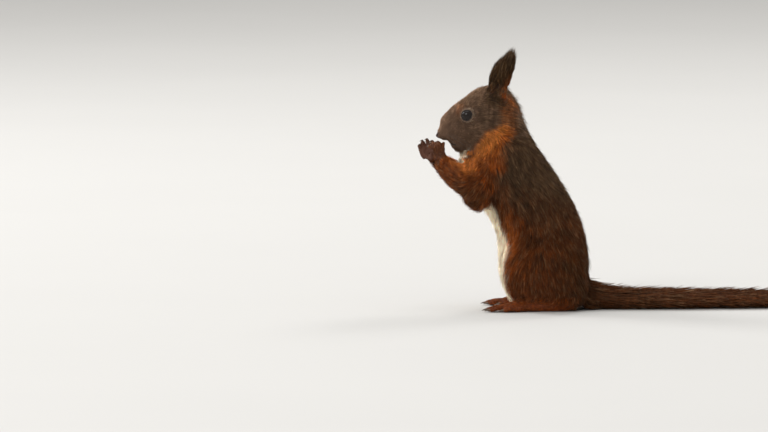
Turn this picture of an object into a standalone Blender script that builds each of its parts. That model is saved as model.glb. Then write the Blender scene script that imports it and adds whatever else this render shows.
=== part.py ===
"""Red squirrel sitting up on its haunches, forepaws at its mouth, tail laid out behind it.

Frame: metres, +Z up, the nose towards -Y and the left side at +X. The origin is on the floor
under the seat, in the mid plane. The flesh and coat are lofted and rounded masses that a voxel
remesh makes one closed form, which thin cuts then part into head, neck, trunk, limbs and tail.
Sizes below are millimetres. They are set out from under the root of the tail, SEAT_SETBACK
behind the origin.
"""

import math

import bmesh
import bpy
from mathutils import Matrix, Vector

MM = 0.001
SEAT_SETBACK = 20.0
GAP = 0.3  # clear space left by each cut and round each eye and claw
SIDES = {"left": 1, "right": -1}

TRUNK_VOXEL = 2.0
TRUNK_SMOOTHING = 24
BODY_VOXEL = 1.4
BODY_SMOOTHING = 7
FINE_VOXEL = 0.8
FINE_SMOOTHING = 3
FLESH_TRIANGLES = 4420
SHARP_ANGLE = math.radians(50)

# Spine, from the seat to the head: y, z, half width across, half depth front to back.
SPINE = [
    (-15.5, 8.5, 18, 22.5),
    (-17.5, 15, 24, 28.5),
    (-19, 28, 26.5, 31.5),
    (-20, 43, 26.5, 30.5),
    (-25, 59, 25.5, 30),
    (-33.5, 76, 24, 28.5),
    (-41, 91, 22.5, 26.5),
    (-47, 104, 20.5, 24.5),
    (-51.5, 116, 18.5, 23),
    (-55.5, 128, 17, 20),
]

# The head is set out from the nose tip along a line that rises backwards at this pitch.
NOSE = (-92.0, 118.0)  # y, z
HEAD_PITCH = math.radians(33.8)
# Along the head, top line, under line, half width.
HEAD = [
    (0.6, 1.7, -3.0, 2.8),
    (3.5, 4.0, -8.4, 5.6),
    (6.5, 6.3, -13.0, 7.2),
    (9.5, 8.0, -17.5, 8.8),
    (13, 9.5, -22.0, 10.4),
    (18, 10.9, -25.4, 12.6),
    (25, 12.0, -26.2, 14.9),
    (32, 12.8, -25, 16.3),
    (39, 12.7, -23, 16.1),
    (46, 10.6, -20, 14.4),
    (51, 7.0, -17, 12.0),
]
EYE = {"along": 25.4, "up": 0.2, "out": 11.2, "radius": 4.7}

# Ear blade with its hair pencil: y, z, half width, half thickness, along the left ear.
EAR_INNER_X = 10.5
EAR_TIP_X = 14.5
EAR = [
    (-51.6, 141.0, 8.2, 3.6),
    (-51.2, 147.0, 8.8, 3.2),
    (-50.0, 153.5, 8.5, 2.8),
    (-48.2, 160.0, 7.7, 2.4),
    (-45.6, 166.0, 6.2, 2.1),
    (-42.8, 171.0, 4.3, 1.9),
    (-40.8, 174.4, 2.2, 1.5),
]
EAR_TURN = math.radians(38)  # how far the cup of the ear faces forwards from sideways

# Foreleg joints: x, y, z. The paws are held one ahead of the other, as if round a morsel.
SHOULDER = {"left": Vector((15, -43, 103)), "right": Vector((-15, -43, 103))}
ELBOW = {"left": Vector((18.5, -66.5, 83)), "right": Vector((-18.5, -68, 82))}
WRIST = {"left": Vector((9, -87, 98.5)), "right": Vector((-9, -91.5, 101))}
KNUCKLES = {"left": Vector((7.6, -90, 109)), "right": Vector((-7.4, -99, 109))}
# Fingertips, from the foremost finger back, which curl in towards the mid plane.
FINGERTIPS = {
    "left": [
        Vector((3.8, -97.2, 110.6)),
        Vector((3.4, -95.8, 112.8)),
        Vector((3.6, -92.6, 113.2)),
        Vector((4.2, -89.0, 111.4)),
    ],
    "right": [
        Vector((-3.2, -104.8, 111.3)),
        Vector((-3.0, -103.2, 114.6)),
        Vector((-3.2, -99.7, 115.6)),
        Vector((-3.8, -96.0, 113.8)),
    ],
}
FINGER_RADIUS = 1.5

# Left hind leg joints: x, y, z.
HIP = Vector((14, -6, 40))
KNEE = Vector((24, -36, 33))
ANKLE = Vector((18.5, -9, 7.6))
FOOT_BALL = Vector((21, -42, 3.1))
FOOT_TURN = math.radians(9)  # the toes point this far outwards
TOE_LENGTHS = [10.5, 14.0, 15.5, 14.5, 9.5]  # inner toe first
TOE_RADIUS = 1.75
TOE_PITCH = 3.1  # sideways, between neighbouring toes

# Tail, laid on the floor: x, y, z, half width, half thickness.
TAIL = [
    (0, -2, 22, 13, 13),
    (0, 10, 12.5, 11, 10.5),
    (-1, 24, 8.2, 13, 8.6),
    (-4, 48, 7.4, 18.5, 7.9),
    (-9, 78, 7.2, 23, 7.6),
    (-13, 108, 7.0, 24.5, 7.4),
    (-14, 138, 6.6, 22.5, 7.0),
    (-12, 162, 5.6, 17, 6.0),
    (-9.5, 177, 4.2, 9, 4.5),
]

# Claws: reach beyond the digit, how far they start inside it, base radius, drop of the point.
FORE_CLAW = {"reach": 3.0, "sink": 1.0, "radius": 0.6, "hook": 0.8}
HIND_CLAW = {"reach": 4.6, "sink": 1.4, "radius": 0.75, "hook": 0.9}

COLOURS = {
    "coat_grey_brown": (0.075, 0.045, 0.026),
    "coat_red_brown": (0.110, 0.036, 0.014),
    "coat_dark_brown": (0.035, 0.018, 0.010),
    "eye_black": (0.010, 0.008, 0.007),
}
NODE_COATS = {
    "coat_grey_brown": ("head", "neck", "chest", "abdomen"),
    "coat_dark_brown": ("ear_left", "ear_right"),
    "eye_black": ("eye_left", "eye_right"),
}


def material(name, colour, roughness):
    made = bpy.data.materials.new(name)
    made.use_nodes = True
    shader = made.node_tree.nodes["Principled BSDF"]
    shader.inputs["Base Color"].default_value = (*colour, 1)
    shader.inputs["Roughness"].default_value = roughness
    shader.inputs["Metallic"].default_value = 0
    return made


def clear_scene():
    for obj in list(bpy.data.objects):
        bpy.data.objects.remove(obj, do_unlink=True)


def collection(name):
    made = bpy.data.collections.new(name)
    bpy.context.scene.collection.children.link(made)
    return made


def object_from(bm, name, home):
    """Finishes a bmesh modelled in millimetres as an object in metres."""
    bmesh.ops.recalc_face_normals(bm, faces=bm.faces)
    bmesh.ops.scale(bm, vec=(MM, MM, MM), verts=bm.verts)
    mesh = bpy.data.meshes.new(name)
    bm.to_mesh(mesh)
    bm.free()
    made = bpy.data.objects.new(name, mesh)
    home.objects.link(made)
    return made


def resampled(stations, steps):
    """Catmull-Rom rows through the stations, so that few stations give a smooth loft."""
    rows = []
    last = len(stations) - 1
    for i in range(last):
        p0, p1, p2, p3 = (stations[max(0, min(last, k))] for k in (i - 1, i, i + 1, i + 2))
        for step in range(steps):
            t = step / steps
            rows.append(
                tuple(
                    0.5 * (2 * b + (c - a) * t + (2 * a - 5 * b + 4 * c - d) * t * t
                           + (3 * b - a - 3 * c + d) * t ** 3)
                    for a, b, c, d in zip(p0, p1, p2, p3)
                )
            )
    rows.append(tuple(stations[-1]))
    return rows


def section_axes(tangent, roll=0.0):
    """The across and depth directions of a section square to the tangent."""
    across = Vector((1, 0, 0))
    across = (across - across.dot(tangent) * tangent).normalized()
    depth = tangent.cross(across)
    turn = Matrix.Rotation(roll, 3, tangent)
    return turn @ across, turn @ depth


def loft(bm, stations, steps=4, sides=20, roll=0.0, domed=0.85, heading=None):
    """A closed tube of elliptical sections: each station is x, y, z, half width, half depth.

    The sections stand square to the line of the stations, or to the heading where there is one.
    """
    rows = resampled(stations, steps)
    centres = [Vector(row[:3]) for row in rows]
    tangents = []
    for i in range(len(rows)):
        before, after = centres[max(0, i - 1)], centres[min(len(rows) - 1, i + 1)]
        tangents.append(heading or (after - before).normalized())
    sections = [(c, t, row[3], row[4]) for c, t, row in zip(centres, tangents, rows)]
    for end, sign in ((0, -1), (-1, 1)):
        centre, tangent, width, depth = sections[end]
        bulge = domed * min(width, depth)
        dome = []
        for angle in (25, 50, 72, 86) if domed else ():
            a = math.radians(angle)
            shift = centre + tangent * (sign * bulge * math.sin(a))
            dome.append((shift, tangent, width * math.cos(a), depth * math.cos(a)))
        sections = dome[::-1] + sections if end == 0 else sections + dome
    rings = []
    for centre, tangent, width, depth in sections:
        across, deep = section_axes(tangent, roll)
        rings.append([
            bm.verts.new(centre + across * width * math.cos(a) + deep * depth * math.sin(a))
            for a in (2 * math.pi * k / sides for k in range(sides))
        ])
    for low, high in zip(rings, rings[1:]):
        for k in range(sides):
            following = (k + 1) % sides
            bm.faces.new((low[k], low[following], high[following], high[k]))
    bm.faces.new(rings[0][::-1])
    bm.faces.new(rings[-1])


def ball(bm, centre, radii, turn=None, rings=14):
    """An ellipsoid; turn is a rotation matrix for its axes."""
    size = Matrix.Diagonal(Vector(radii).to_4d())
    size[3][3] = 1
    place = Matrix.Translation(Vector(centre)) @ (turn.to_4x4() if turn else Matrix.Identity(4)) @ size
    bmesh.ops.create_uvsphere(bm, u_segments=rings * 5 // 3, v_segments=rings, radius=1, matrix=place)


def limb(bm, points, radii, flatness=1.0, sides=14):
    """A round tapering tube through points, narrower across by flatness."""
    loft(bm, [(*p, r * flatness, r) for p, r in zip(points, radii)], sides=sides)


def head_point(along, up, out=0.0):
    """A point set out in the head's own directions: back from the nose, up, and to the left."""
    c, s = math.cos(HEAD_PITCH), math.sin(HEAD_PITCH)
    return Vector((out, NOSE[0] + along * c - up * s, NOSE[1] + along * s + up * c))


def mirrored(point, sign):
    return Vector((point[0] * sign, point[1], point[2]))


def pitch_turn(angle):
    return Matrix.Rotation(angle, 3, "X")


def along_turn(direction):
    """A rotation that takes +Z to a direction, keeping +X as level as it can be."""
    z = direction.normalized()
    x = Vector((1, 0, 0))
    x = (x - x.dot(z) * z).normalized()
    y = z.cross(x)
    return Matrix((x, y, z)).transposed()


def add_trunk(bm):
    loft(bm, [(0, *row) for row in SPINE], steps=3, sides=28, domed=0.58)
    ball(bm, (0, -48.5, 131), (16.5, 14.5, 17))  # nape
    ball(bm, (0, -60, 109), (16, 14, 14))  # throat
    ball(bm, (0, -45.5, 76), (18, 20, 19))  # breast
    for side, sign in SIDES.items():
        upper = along_turn(ELBOW[side] - SHOULDER[side])
        middle = (SHOULDER[side] + ELBOW[side]) / 2
        ball(bm, SHOULDER[side], (11.5, 14, 16), upper)
        ball(bm, middle, (9.5, 13, 21), upper)
        ball(bm, (12 * sign, -63, 100), (9.5, 12, 11))  # crook of the arm
        ball(bm, (16.5 * sign, -18.5, 30), (15.5, 30, 27), pitch_turn(math.radians(-8)))
        ball(bm, (20.5 * sign, -30, 24), (11.5, 18, 20))
        ball(bm, (14 * sign, -8, 13.6), (14, 21, 14.5))


def add_head(bm):
    rows = []
    for along, top, under, width in HEAD:
        centre = head_point(along, (top + under) / 2)
        rows.append((*centre, width, (top - under) / 2))
    heading = head_point(1, 0) - head_point(0, 0)
    loft(bm, rows, steps=3, sides=26, domed=0.6, heading=heading)
    for sign in SIDES.values():
        ball(bm, head_point(27, -11, 8 * sign), (9.5, 11.5, 10.5))  # cheek
        ball(bm, head_point(6.5, -4.4, 3.4 * sign), (4.2, 5.0, 4.4))  # whisker pad
        ball(bm, head_point(25.5, 3.6, 8.4 * sign), (5.0, 7.8, 5.0))  # brow over the eye
        ball(bm, (11.3 * sign, -50.5, 140.5), (5.4, 8.8, 8.0))  # root of the ear
    ball(bm, head_point(10, -11.5), (6.0, 6.0, 5.2))  # chin


def add_forelegs(bm):
    for side in SIDES:
        elbow, wrist, knuckles = ELBOW[side], WRIST[side], KNUCKLES[side]
        forward = (wrist - elbow).normalized()
        points = [elbow - forward * 5, elbow.lerp(wrist, 0.45), wrist, wrist.lerp(knuckles, 0.5)]
        limb(bm, points, [11.5, 9.4, 5.6, 4.2], 0.85)


def add_forepaws(bm):
    for side, sign in SIDES.items():
        wrist, knuckles = WRIST[side], KNUCKLES[side]
        palm = wrist.lerp(knuckles, 0.6)
        limb(bm, [wrist, palm, knuckles], [4.6, 4.9, 4.0], 0.62)
        for rank, tip in enumerate(FINGERTIPS[side]):
            root = knuckles + Vector((0, 2.1 * (rank - 1.5), -1.5 - 0.5 * abs(rank - 1.5)))
            bend = root.lerp(tip, 0.55) + Vector((1.7 * sign, -0.3, 0.7))
            limb(bm, [root, bend, tip], [1.9, FINGER_RADIUS * 1.1, FINGER_RADIUS], sides=12)
        ball(bm, palm + Vector((-2.4 * sign, -3.6, 0.5)), (1.6, 1.6, 2.4))  # thumb stub


def toe_line(rank, sign):
    """Root and tip of a hind toe, fanned about the ball of the foot."""
    spread = (rank - 2) * TOE_PITCH
    turn = FOOT_TURN + math.radians(4.5 * (rank - 2))
    ball_x, ball_y, ball_z = FOOT_BALL
    heading = Vector((math.sin(turn), -math.cos(turn), 0))
    set_back = {0: 5.0, 4: 5.0}.get(rank, 0.6 * abs(rank - 2))
    root = Vector((ball_x + spread * 0.82, ball_y + set_back, ball_z - 1.0))
    tip = root + heading * TOE_LENGTHS[rank]
    tip.z = TOE_RADIUS * 0.94
    return mirrored(root, sign), mirrored(tip, sign)


def add_hind_feet(bm):
    for sign in SIDES.values():
        ankle, pad = mirrored(ANKLE, sign), mirrored(FOOT_BALL, sign)
        knee = mirrored(KNEE, sign)
        limb(bm, [knee.lerp(ankle, 0.25), ankle], [9, 6.2], 0.85, sides=16)
        heel = ankle + Vector((0, 4, -3.2))
        loft(bm, [
            (*heel, 4.2, 4.6),
            (*heel.lerp(pad, 0.35), 4.6, 4.4),
            (*heel.lerp(pad, 0.75), 6.0, 3.7),
            (*pad, 7.2, 3.2),
            (*(pad + Vector((0.8 * sign, -4.0, -0.9))), 6.2, 2.6),
        ], sides=18)
        for rank in range(len(TOE_LENGTHS)):
            root, tip = toe_line(rank, sign)
            knuckle = root.lerp(tip, 0.55) + Vector((0, 0, 1.0))
            limb(bm, [root, knuckle, tip], [2.2, TOE_RADIUS * 1.08, TOE_RADIUS], sides=12)


def ear_rows(sign):
    first, last = EAR[0][1], EAR[-1][1]
    rows = []
    for y, z, width, thick in EAR:
        out = EAR_INNER_X + (EAR_TIP_X - EAR_INNER_X) * (z - first) / (last - first)
        rows.append((out * sign, y, z, width, thick))
    return rows


def add_ears(home):
    """Each ear as its own mesh, scooped where its cup opens forwards and outwards."""
    ears = []
    for side, sign in SIDES.items():
        bm = bmesh.new()
        turn = math.radians(90) - EAR_TURN
        loft(bm, ear_rows(sign), steps=3, sides=18, roll=turn * sign, domed=1.5)
        ear = object_from(bm, f"ear_form_{side}", home)
        facing = Vector((math.cos(EAR_TURN) * sign, -math.sin(EAR_TURN), 0.12)).normalized()
        bm = bmesh.new()
        cup = Vector((12.3 * sign, -50.2, 155.0)) + facing * 3.7
        ball(bm, cup, (6.2, 3.4, 11.0), along_turn(Vector((0, 0.16, 1))) @ Matrix.Rotation(
            -turn * sign, 3, "Z"))
        scoop = cutter_from(bm, f"ear_scoop_{side}", home)
        apply_boolean(ear, scoop, "DIFFERENCE")
        ears.append(ear)
    return ears


def evaluated_mesh(obj):
    graph = bpy.context.evaluated_depsgraph_get()
    return bpy.data.meshes.new_from_object(obj.evaluated_get(graph))


def apply_modifiers(obj):
    obj.data = evaluated_mesh(obj)
    obj.modifiers.clear()


def apply_boolean(obj, cutter, operation):
    bpy.context.view_layer.update()
    cut = obj.modifiers.new(operation.lower(), "BOOLEAN")
    cut.operation = operation
    cut.object = cutter
    apply_modifiers(obj)


def joined(objects, name, home):
    bm = bmesh.new()
    for obj in objects:
        bm.from_mesh(obj.data)
        bpy.data.objects.remove(obj, do_unlink=True)
    mesh = bpy.data.meshes.new(name)
    bm.to_mesh(mesh)
    bm.free()
    made = bpy.data.objects.new(name, mesh)
    home.objects.link(made)
    return made


def remesh(obj, voxel, smoothing):
    """Makes overlapping closed forms one skin and softens the creases where they meet."""
    skin = obj.modifiers.new("skin", "REMESH")
    skin.mode = "VOXEL"
    skin.voxel_size = voxel * MM
    soften = obj.modifiers.new("soften", "SMOOTH")
    soften.factor = 0.5
    soften.iterations = smoothing
    apply_modifiers(obj)


def reduce_to(obj, triangles):
    obj.data.calc_loop_triangles()
    thin = obj.modifiers.new("thin", "DECIMATE")
    thin.ratio = min(1, triangles / len(obj.data.loop_triangles))
    apply_modifiers(obj)


def tidy(obj):
    """Merges the slivers that cuts leave along their edges."""
    bm = bmesh.new()
    bm.from_mesh(obj.data)
    bmesh.ops.triangulate(bm, faces=bm.faces)
    bmesh.ops.remove_doubles(bm, verts=bm.verts, dist=0.00005)
    bmesh.ops.dissolve_degenerate(bm, dist=0.00002, edges=bm.edges)
    bmesh.ops.triangulate(bm, faces=bm.faces)
    bmesh.ops.recalc_face_normals(bm, faces=bm.faces)
    bm.to_mesh(obj.data)
    bm.free()


def whole_form(work):
    """The flesh and coat in one closed mesh: large masses first, then paws and ears."""
    bm = bmesh.new()
    add_trunk(bm)
    trunk = object_from(bm, "trunk_masses", work)
    remesh(trunk, TRUNK_VOXEL, TRUNK_SMOOTHING)
    bm = bmesh.new()
    add_head(bm)
    add_forelegs(bm)
    loft(bm, TAIL, steps=3, sides=24, domed=1.6)
    masses = joined([trunk, object_from(bm, "limb_masses", work)], "masses", work)
    remesh(masses, BODY_VOXEL, BODY_SMOOTHING)
    bm = bmesh.new()
    add_forepaws(bm)
    add_hind_feet(bm)
    paws = object_from(bm, "paws", work)
    whole = joined([masses, paws, *add_ears(work)], "whole", work)
    remesh(whole, FINE_VOXEL, FINE_SMOOTHING)
    reduce_to(whole, FLESH_TRIANGLES)
    floor = block_cutter("below_floor", (0, 60, -50), (400, 600, 100), work)
    apply_boolean(whole, floor, "DIFFERENCE")
    return whole


def cutter_from(bm, name, work):
    made = object_from(bm, name, work)
    made.hide_render = True
    made.display_type = "WIRE"
    return made


def block_cutter(name, centre, size, work, turn=None):
    bm = bmesh.new()
    scale = Matrix.Diagonal((*size, 1))
    place = Matrix.Translation(Vector(centre)) @ (turn.to_4x4() if turn else Matrix.Identity(4)) @ scale
    bmesh.ops.create_cube(bm, size=1, matrix=place)
    return cutter_from(bm, name, work)


def island_of(bm, start):
    """The vertices joined to one vertex by edges."""
    found, front = {start}, [start]
    while front:
        vert = front.pop()
        for edge in vert.link_edges:
            other = edge.other_vert(vert)
            if other not in found:
                found.add(other)
                front.append(other)
    return found


def split_by_seed(obj, name, seed, home):
    """Moves the loose part nearest a seed point out of a mesh into an object of its own."""
    bm = bmesh.new()
    bm.from_mesh(obj.data)
    near = min(bm.verts, key=lambda v: (v.co - Vector(seed) * MM).length_squared)
    chosen = island_of(bm, near)
    rest = bm.copy()
    bm.verts.index_update()
    rest.verts.ensure_lookup_table()
    taken = [rest.verts[v.index] for v in chosen]
    bmesh.ops.delete(bm, geom=[v for v in bm.verts if v not in chosen], context="VERTS")
    bmesh.ops.delete(rest, geom=taken, context="VERTS")
    rest.to_mesh(obj.data)
    rest.free()
    mesh = bpy.data.meshes.new(name)
    bm.to_mesh(mesh)
    bm.free()
    piece = bpy.data.objects.new(name, mesh)
    home.objects.link(piece)
    return piece


def cut_off(body, name, seed, plate, home, work):
    """Parts the node at the seed from the body with a thin plate: its centre, normal and size."""
    centre, normal, across, along = plate
    turn = along_turn(Vector(normal))
    cutter = block_cutter(f"{name}_cut", centre, (across, along, GAP), work, turn)
    apply_boolean(body, cutter, "DIFFERENCE")
    return split_by_seed(body, name, seed, home)


def part_off(body, name, centre, size, home, work):
    """Takes the region inside a block off the body as a node, leaving the cut's gap."""
    tight = block_cutter(f"{name}_inside", centre, [s - GAP for s in size], work)
    loose = block_cutter(f"{name}_outside", centre, [s + GAP for s in size], work)
    piece = bpy.data.objects.new(name, body.data.copy())
    home.objects.link(piece)
    apply_boolean(piece, tight, "INTERSECT")
    apply_boolean(body, loose, "DIFFERENCE")
    return piece


def part_body(body, home, work):
    """Parts the whole form into the nodes that a person would name."""
    nodes = {}

    def cut(source, name, seed, *plate):
        nodes[name] = cut_off(source, name, seed, plate, home, work)
        return nodes[name]

    tail = cut(body, "tail_base", (-8, 100, 7), (0, 15.5, 12), (0, 1, 0), 60, 60)
    tail_end = cut(tail, "tail_end", (-10, 170, 6), (-13, 122, 8), (0, 1, 0), 80, 40)
    cut(tail, "tail_middle", (-9, 90, 14), (-8, 68, 8), (0, 1, 0), 80, 40)
    head = cut(body, "head", (0, -80, 130), (0, -46.5, 118.8), (0, -0.45, 0.89), 70, 68)
    for side, sign in SIDES.items():
        cut(head, f"ear_{side}", (14 * sign, -42, 172), (11.5 * sign, -49.5, 149.5),
            (0.45 * sign, 0.1, 0.88), 18, 26)
    for side, sign in SIDES.items():
        wrist, knuckles = WRIST[side], KNUCKLES[side]
        arm = cut(body, f"forearm_{side}", wrist, (20.1 * sign, -60.2, 80), (0.55 * sign, -0.83, 0),
                  50, 70)
        bend = (wrist - ELBOW[side]).normalized() + (knuckles - wrist).normalized()
        cut(arm, f"forepaw_{side}", FINGERTIPS[side][1], wrist.lerp(knuckles, 0.12), bend, 30, 30)
        nodes[f"hind_foot_{side}"] = part_off(
            body, f"hind_foot_{side}", (25.5 * sign, -32, 3), (30, 68, 11), home, work)
        cut(body, f"hind_leg_{side}", (34 * sign, -20, 28), (22.8 * sign, -20, 30),
            (0.96 * sign, 0, -0.28), 90, 90)
    cut(body, "neck", (0, -32, 116), (0, -48, 100.5), (0, -0.45, 0.89), 90, 90)
    cut(body, "chest", (0, -35, 85), (0, -27, 64), (0, -0.45, 0.89), 90, 90)
    cut(body, "abdomen", (0, -22, 50), (0, -20, 33), (0, -0.1, 0.99), 90, 90)
    nodes["rump"] = body
    body.name = "rump"
    return nodes


def add_claw(bm, root, tip, size, droop):
    """A hooked claw that carries on a digit from root to tip and bends towards droop."""
    forward = (tip - root).normalized()
    rows = []
    for run, thick in ((-size["sink"], 1.0), (size["reach"] * 0.5, 0.8), (size["reach"], 0.35)):
        bend = droop * size["hook"] * (max(run, 0) / size["reach"]) ** 2
        rows.append((*(tip + forward * run + bend), size["radius"] * thick * 0.85, size["radius"] * thick))
    loft(bm, rows, steps=1, sides=6, domed=0)


def add_claws(nodes, work):
    """Joins the claws to the paws that they grow from."""
    for side, sign in SIDES.items():
        bm = bmesh.new()
        for tip in FINGERTIPS[side]:
            root = tip + Vector((1.2 * sign, 1.3, -0.6))
            add_claw(bm, root, tip, FORE_CLAW, Vector((-0.6 * sign, -0.2, -0.8)))
        claws = {f"forepaw_{side}": cutter_from(bm, f"fore_claws_{side}", work)}
        bm = bmesh.new()
        for rank in range(len(TOE_LENGTHS)):
            root, tip = toe_line(rank, sign)
            level = Vector((tip.x, tip.y, tip.z + 0.25))
            add_claw(bm, Vector((root.x, root.y, level.z)), level, HIND_CLAW, Vector((0, 0, -1)))
        claws[f"hind_foot_{side}"] = cutter_from(bm, f"hind_claws_{side}", work)
        for name, claw in claws.items():
            apply_boolean(nodes[name], claw, "UNION")


def add_eyes(nodes, home, work):
    """Sets the eyeballs in sockets that clear them by the gap."""
    for side, sign in SIDES.items():
        centre = head_point(EYE["along"], EYE["up"], EYE["out"] * sign)
        radius = EYE["radius"]
        bm = bmesh.new()
        ball(bm, centre, [radius + GAP] * 3, rings=10)
        apply_boolean(nodes["head"], cutter_from(bm, f"eye_socket_{side}", work), "DIFFERENCE")
        bm = bmesh.new()
        ball(bm, centre, [radius] * 3, rings=10)
        nodes[f"eye_{side}"] = object_from(bm, f"eye_{side}", home)


def centre_origin(node):
    """Puts the object's origin in the middle of its own box."""
    corners = [Vector(corner) for corner in node.bound_box]
    middle = (corners[0] + corners[6]) / 2
    node.data.transform(Matrix.Translation(-middle))
    node.location = middle + Vector((0, SEAT_SETBACK * MM, 0))


def build():
    clear_scene()
    home = collection("red_squirrel")
    work = collection("cutters")
    whole = whole_form(work)
    work.objects.unlink(whole)
    home.objects.link(whole)
    nodes = part_body(whole, home, work)
    add_claws(nodes, work)
    add_eyes(nodes, home, work)
    coats = {name: material(name, colour, 0.3 if name == "eye_black" else 0.8)
             for name, colour in COLOURS.items()}
    root = bpy.data.objects.new("red_squirrel_frame", None)
    home.objects.link(root)
    for name, node in nodes.items():
        node.name = name
        tidy(node)
        centre_origin(node)
        node.parent = root
        node.data.shade_smooth()
        node.data.set_sharp_from_angle(angle=SHARP_ANGLE)
        worn = next((coat for coat, names in NODE_COATS.items() if name in names), "coat_red_brown")
        node.data.materials.clear()
        node.data.materials.append(coats[worn])


build()
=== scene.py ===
import math

import bmesh
import bpy
import numpy as np
from mathutils import Matrix, Vector
from mathutils.bvhtree import BVHTree
from mathutils.kdtree import KDTree


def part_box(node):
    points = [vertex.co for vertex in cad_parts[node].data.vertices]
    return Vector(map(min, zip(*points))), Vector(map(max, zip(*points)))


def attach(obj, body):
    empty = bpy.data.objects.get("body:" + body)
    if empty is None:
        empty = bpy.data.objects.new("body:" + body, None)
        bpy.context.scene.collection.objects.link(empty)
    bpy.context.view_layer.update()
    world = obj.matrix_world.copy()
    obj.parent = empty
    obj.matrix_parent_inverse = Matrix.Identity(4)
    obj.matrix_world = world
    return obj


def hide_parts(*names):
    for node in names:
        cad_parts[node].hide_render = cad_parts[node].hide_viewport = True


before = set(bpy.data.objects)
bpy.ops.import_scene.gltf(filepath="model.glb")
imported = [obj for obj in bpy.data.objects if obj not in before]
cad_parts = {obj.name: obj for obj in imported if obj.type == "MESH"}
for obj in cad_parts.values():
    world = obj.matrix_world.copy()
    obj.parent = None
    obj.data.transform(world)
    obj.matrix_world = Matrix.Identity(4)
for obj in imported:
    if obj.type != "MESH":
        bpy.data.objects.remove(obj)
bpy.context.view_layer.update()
chance = np.random.default_rng(11)
mm = 0.001
sides = {"left": 1, "right": -1}
print("frame loaded:", len(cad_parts), "nodes")


# Landmarks, all from the frame: millimetres in the working arrays, metres in the meshes.
def middleOf(node):
    low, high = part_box(node)
    return np.array((low + high) / 2) / mm


headPlan = {"pitch": 33.8, "eyeAlong": 25.4, "eyeUp": 0.2}  # its axis runs from the nose to the nape
headPitch = math.radians(headPlan["pitch"])
headBack = np.array([0, math.cos(headPitch), math.sin(headPitch)])
headUp = np.array([0, -headBack[2], headBack[1]])
eyeMiddle = {side: middleOf("eye_" + side) for side in sides}
eyeRadius = (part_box("eye_left")[1].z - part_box("eye_left")[0].z) / 2 / mm
betweenEyes = (eyeMiddle["left"] + eyeMiddle["right"]) / 2
noseTip = betweenEyes - headBack * headPlan["eyeAlong"] - headUp * headPlan["eyeUp"]


def headPoint(along, up, out=0.0):
    return noseTip + headBack * along + headUp * up + np.array([out, 0, 0])


def headPlace(points):
    # distance behind the nose, height over the head's axis, distance from the middle
    offset = points - noseTip
    return offset @ headBack, offset @ headUp, np.abs(points[:, 0])


def unit(vectors):
    return vectors / np.maximum(np.linalg.norm(vectors, axis=-1, keepdims=True), 1e-9)


def ease(low, high, values):
    part = np.clip((values - low) / (high - low), 0, 1)
    return part * part * (3 - 2 * part)


def fade(low, high, values):
    return 1 - ease(low, high, values)


def band(values, low, high, soft):
    return ease(low - soft, low + soft, values) * fade(high - soft, high + soft, values)


def gapTo(points, place):
    return np.linalg.norm(points - place, axis=1)


def laidFlat(vectors, normals):
    # each vector without its part along the normal
    return vectors - normals * np.sum(vectors * normals, axis=1, keepdims=True)


def starting(names, *starts):
    # which names begin with one of these
    return np.any([np.char.startswith(names, start) for start in starts], axis=0)


def reachedAlong(line):
    # how far along a line each of its points is
    return np.concatenate([[0], np.cumsum(np.linalg.norm(np.diff(line, axis=0), axis=1))])


# The lines that the coat lies along, from head to tail and down each limb, each with its weight.
combLines = {
    "crown": ([headPoint(0, 0), headPoint(12, 9), headPoint(30, 12), headPoint(48, 6)], 1.0),
    "jaw": ([headPoint(1, -4), headPoint(12, -20), headPoint(30, -24), headPoint(46, -22)], 1.0),
    "back": ([(0, -27, 140), (0, -16, 120), (0, -6, 100), (0, 6, 76), (0, 14, 50), (0, 17, 32),
              (0, 25, 18), (0, 38, 10)], 1.2),
    "belly": ([(0, -62, 110), (0, -60, 92), (0, -54, 74), (0, -46, 54), (0, -42, 30), (0, -38, 10)], 0.8),
}
sideLines = {
    "face": ([(4, -70, 116), (14, -54, 124), (17, -40, 128), (19, -28, 128)], 1.0),
    "flank": ([(20, -34, 118), (23, -26, 96), (26, -12, 74), (27, 0, 50), (26, 6, 26), (22, 12, 8)], 1.3),
    "arm": ([(20, -36, 108), (21, -44, 92), (18.5, -50, 84), (12, -62, 92), (8, -70, 101),
             (5, -76, 113)], 1.2),
    "thigh": ([(24, -6, 52), (28, -14, 36), (28, -18, 20), (24, -16, 8)], 1.3),
    "foot": ([(19, 8, 7), (20, -18, 6), (21, -36, 4), (21, -44, 2)], 1.0),
    "ear": ([(10.5, -31.6, 141), (11.6, -30.6, 152), (13, -27.2, 164), (14.5, -22.0, 174.4)], 1.0),
}
tailLine = [(0, 16, 17), (0, 23, 13.4), (0, 31, 10.2), (-1, 44, 7.4), (-4, 68, 6.6), (-9, 98, 6.4),
            (-13, 128, 6.2), (-14, 158, 5.6), (-12, 182, 4.6), (-10.4, 190, 4.2)]


def mirroredLine(points, sign):
    return [(x * sign, y, z) for x, y, z in points]


for side, sign in sides.items():
    for name, (points, weight) in sideLines.items():
        combLines[name + "_" + side] = (mirroredLine(points, sign), weight)
combLines["tail"] = (tailLine, 1.4)
earLines = {side: combLines["ear_" + side][0] for side in sides}


def nearestOnLine(points, line):
    # distance to a line, its direction there and how far along it that is, from 0 to 1
    line = np.array(line, float)
    spans = np.linalg.norm(np.diff(line, axis=0), axis=1)
    reached = reachedAlong(line)
    best = np.full(len(points), 1e9)
    heading = np.zeros_like(points)
    along = np.zeros(len(points))
    for index, span in enumerate(spans):
        run = (line[index + 1] - line[index]) / span
        part = np.clip((points - line[index]) @ run, 0, span)
        gap = gapTo(points - line[index], part[:, None] * run)
        closer = gap < best
        best[closer] = gap[closer]
        heading[closer] = run
        along[closer] = (reached[index] + part[closer]) / reached[-1]
    return best, heading, along


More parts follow.
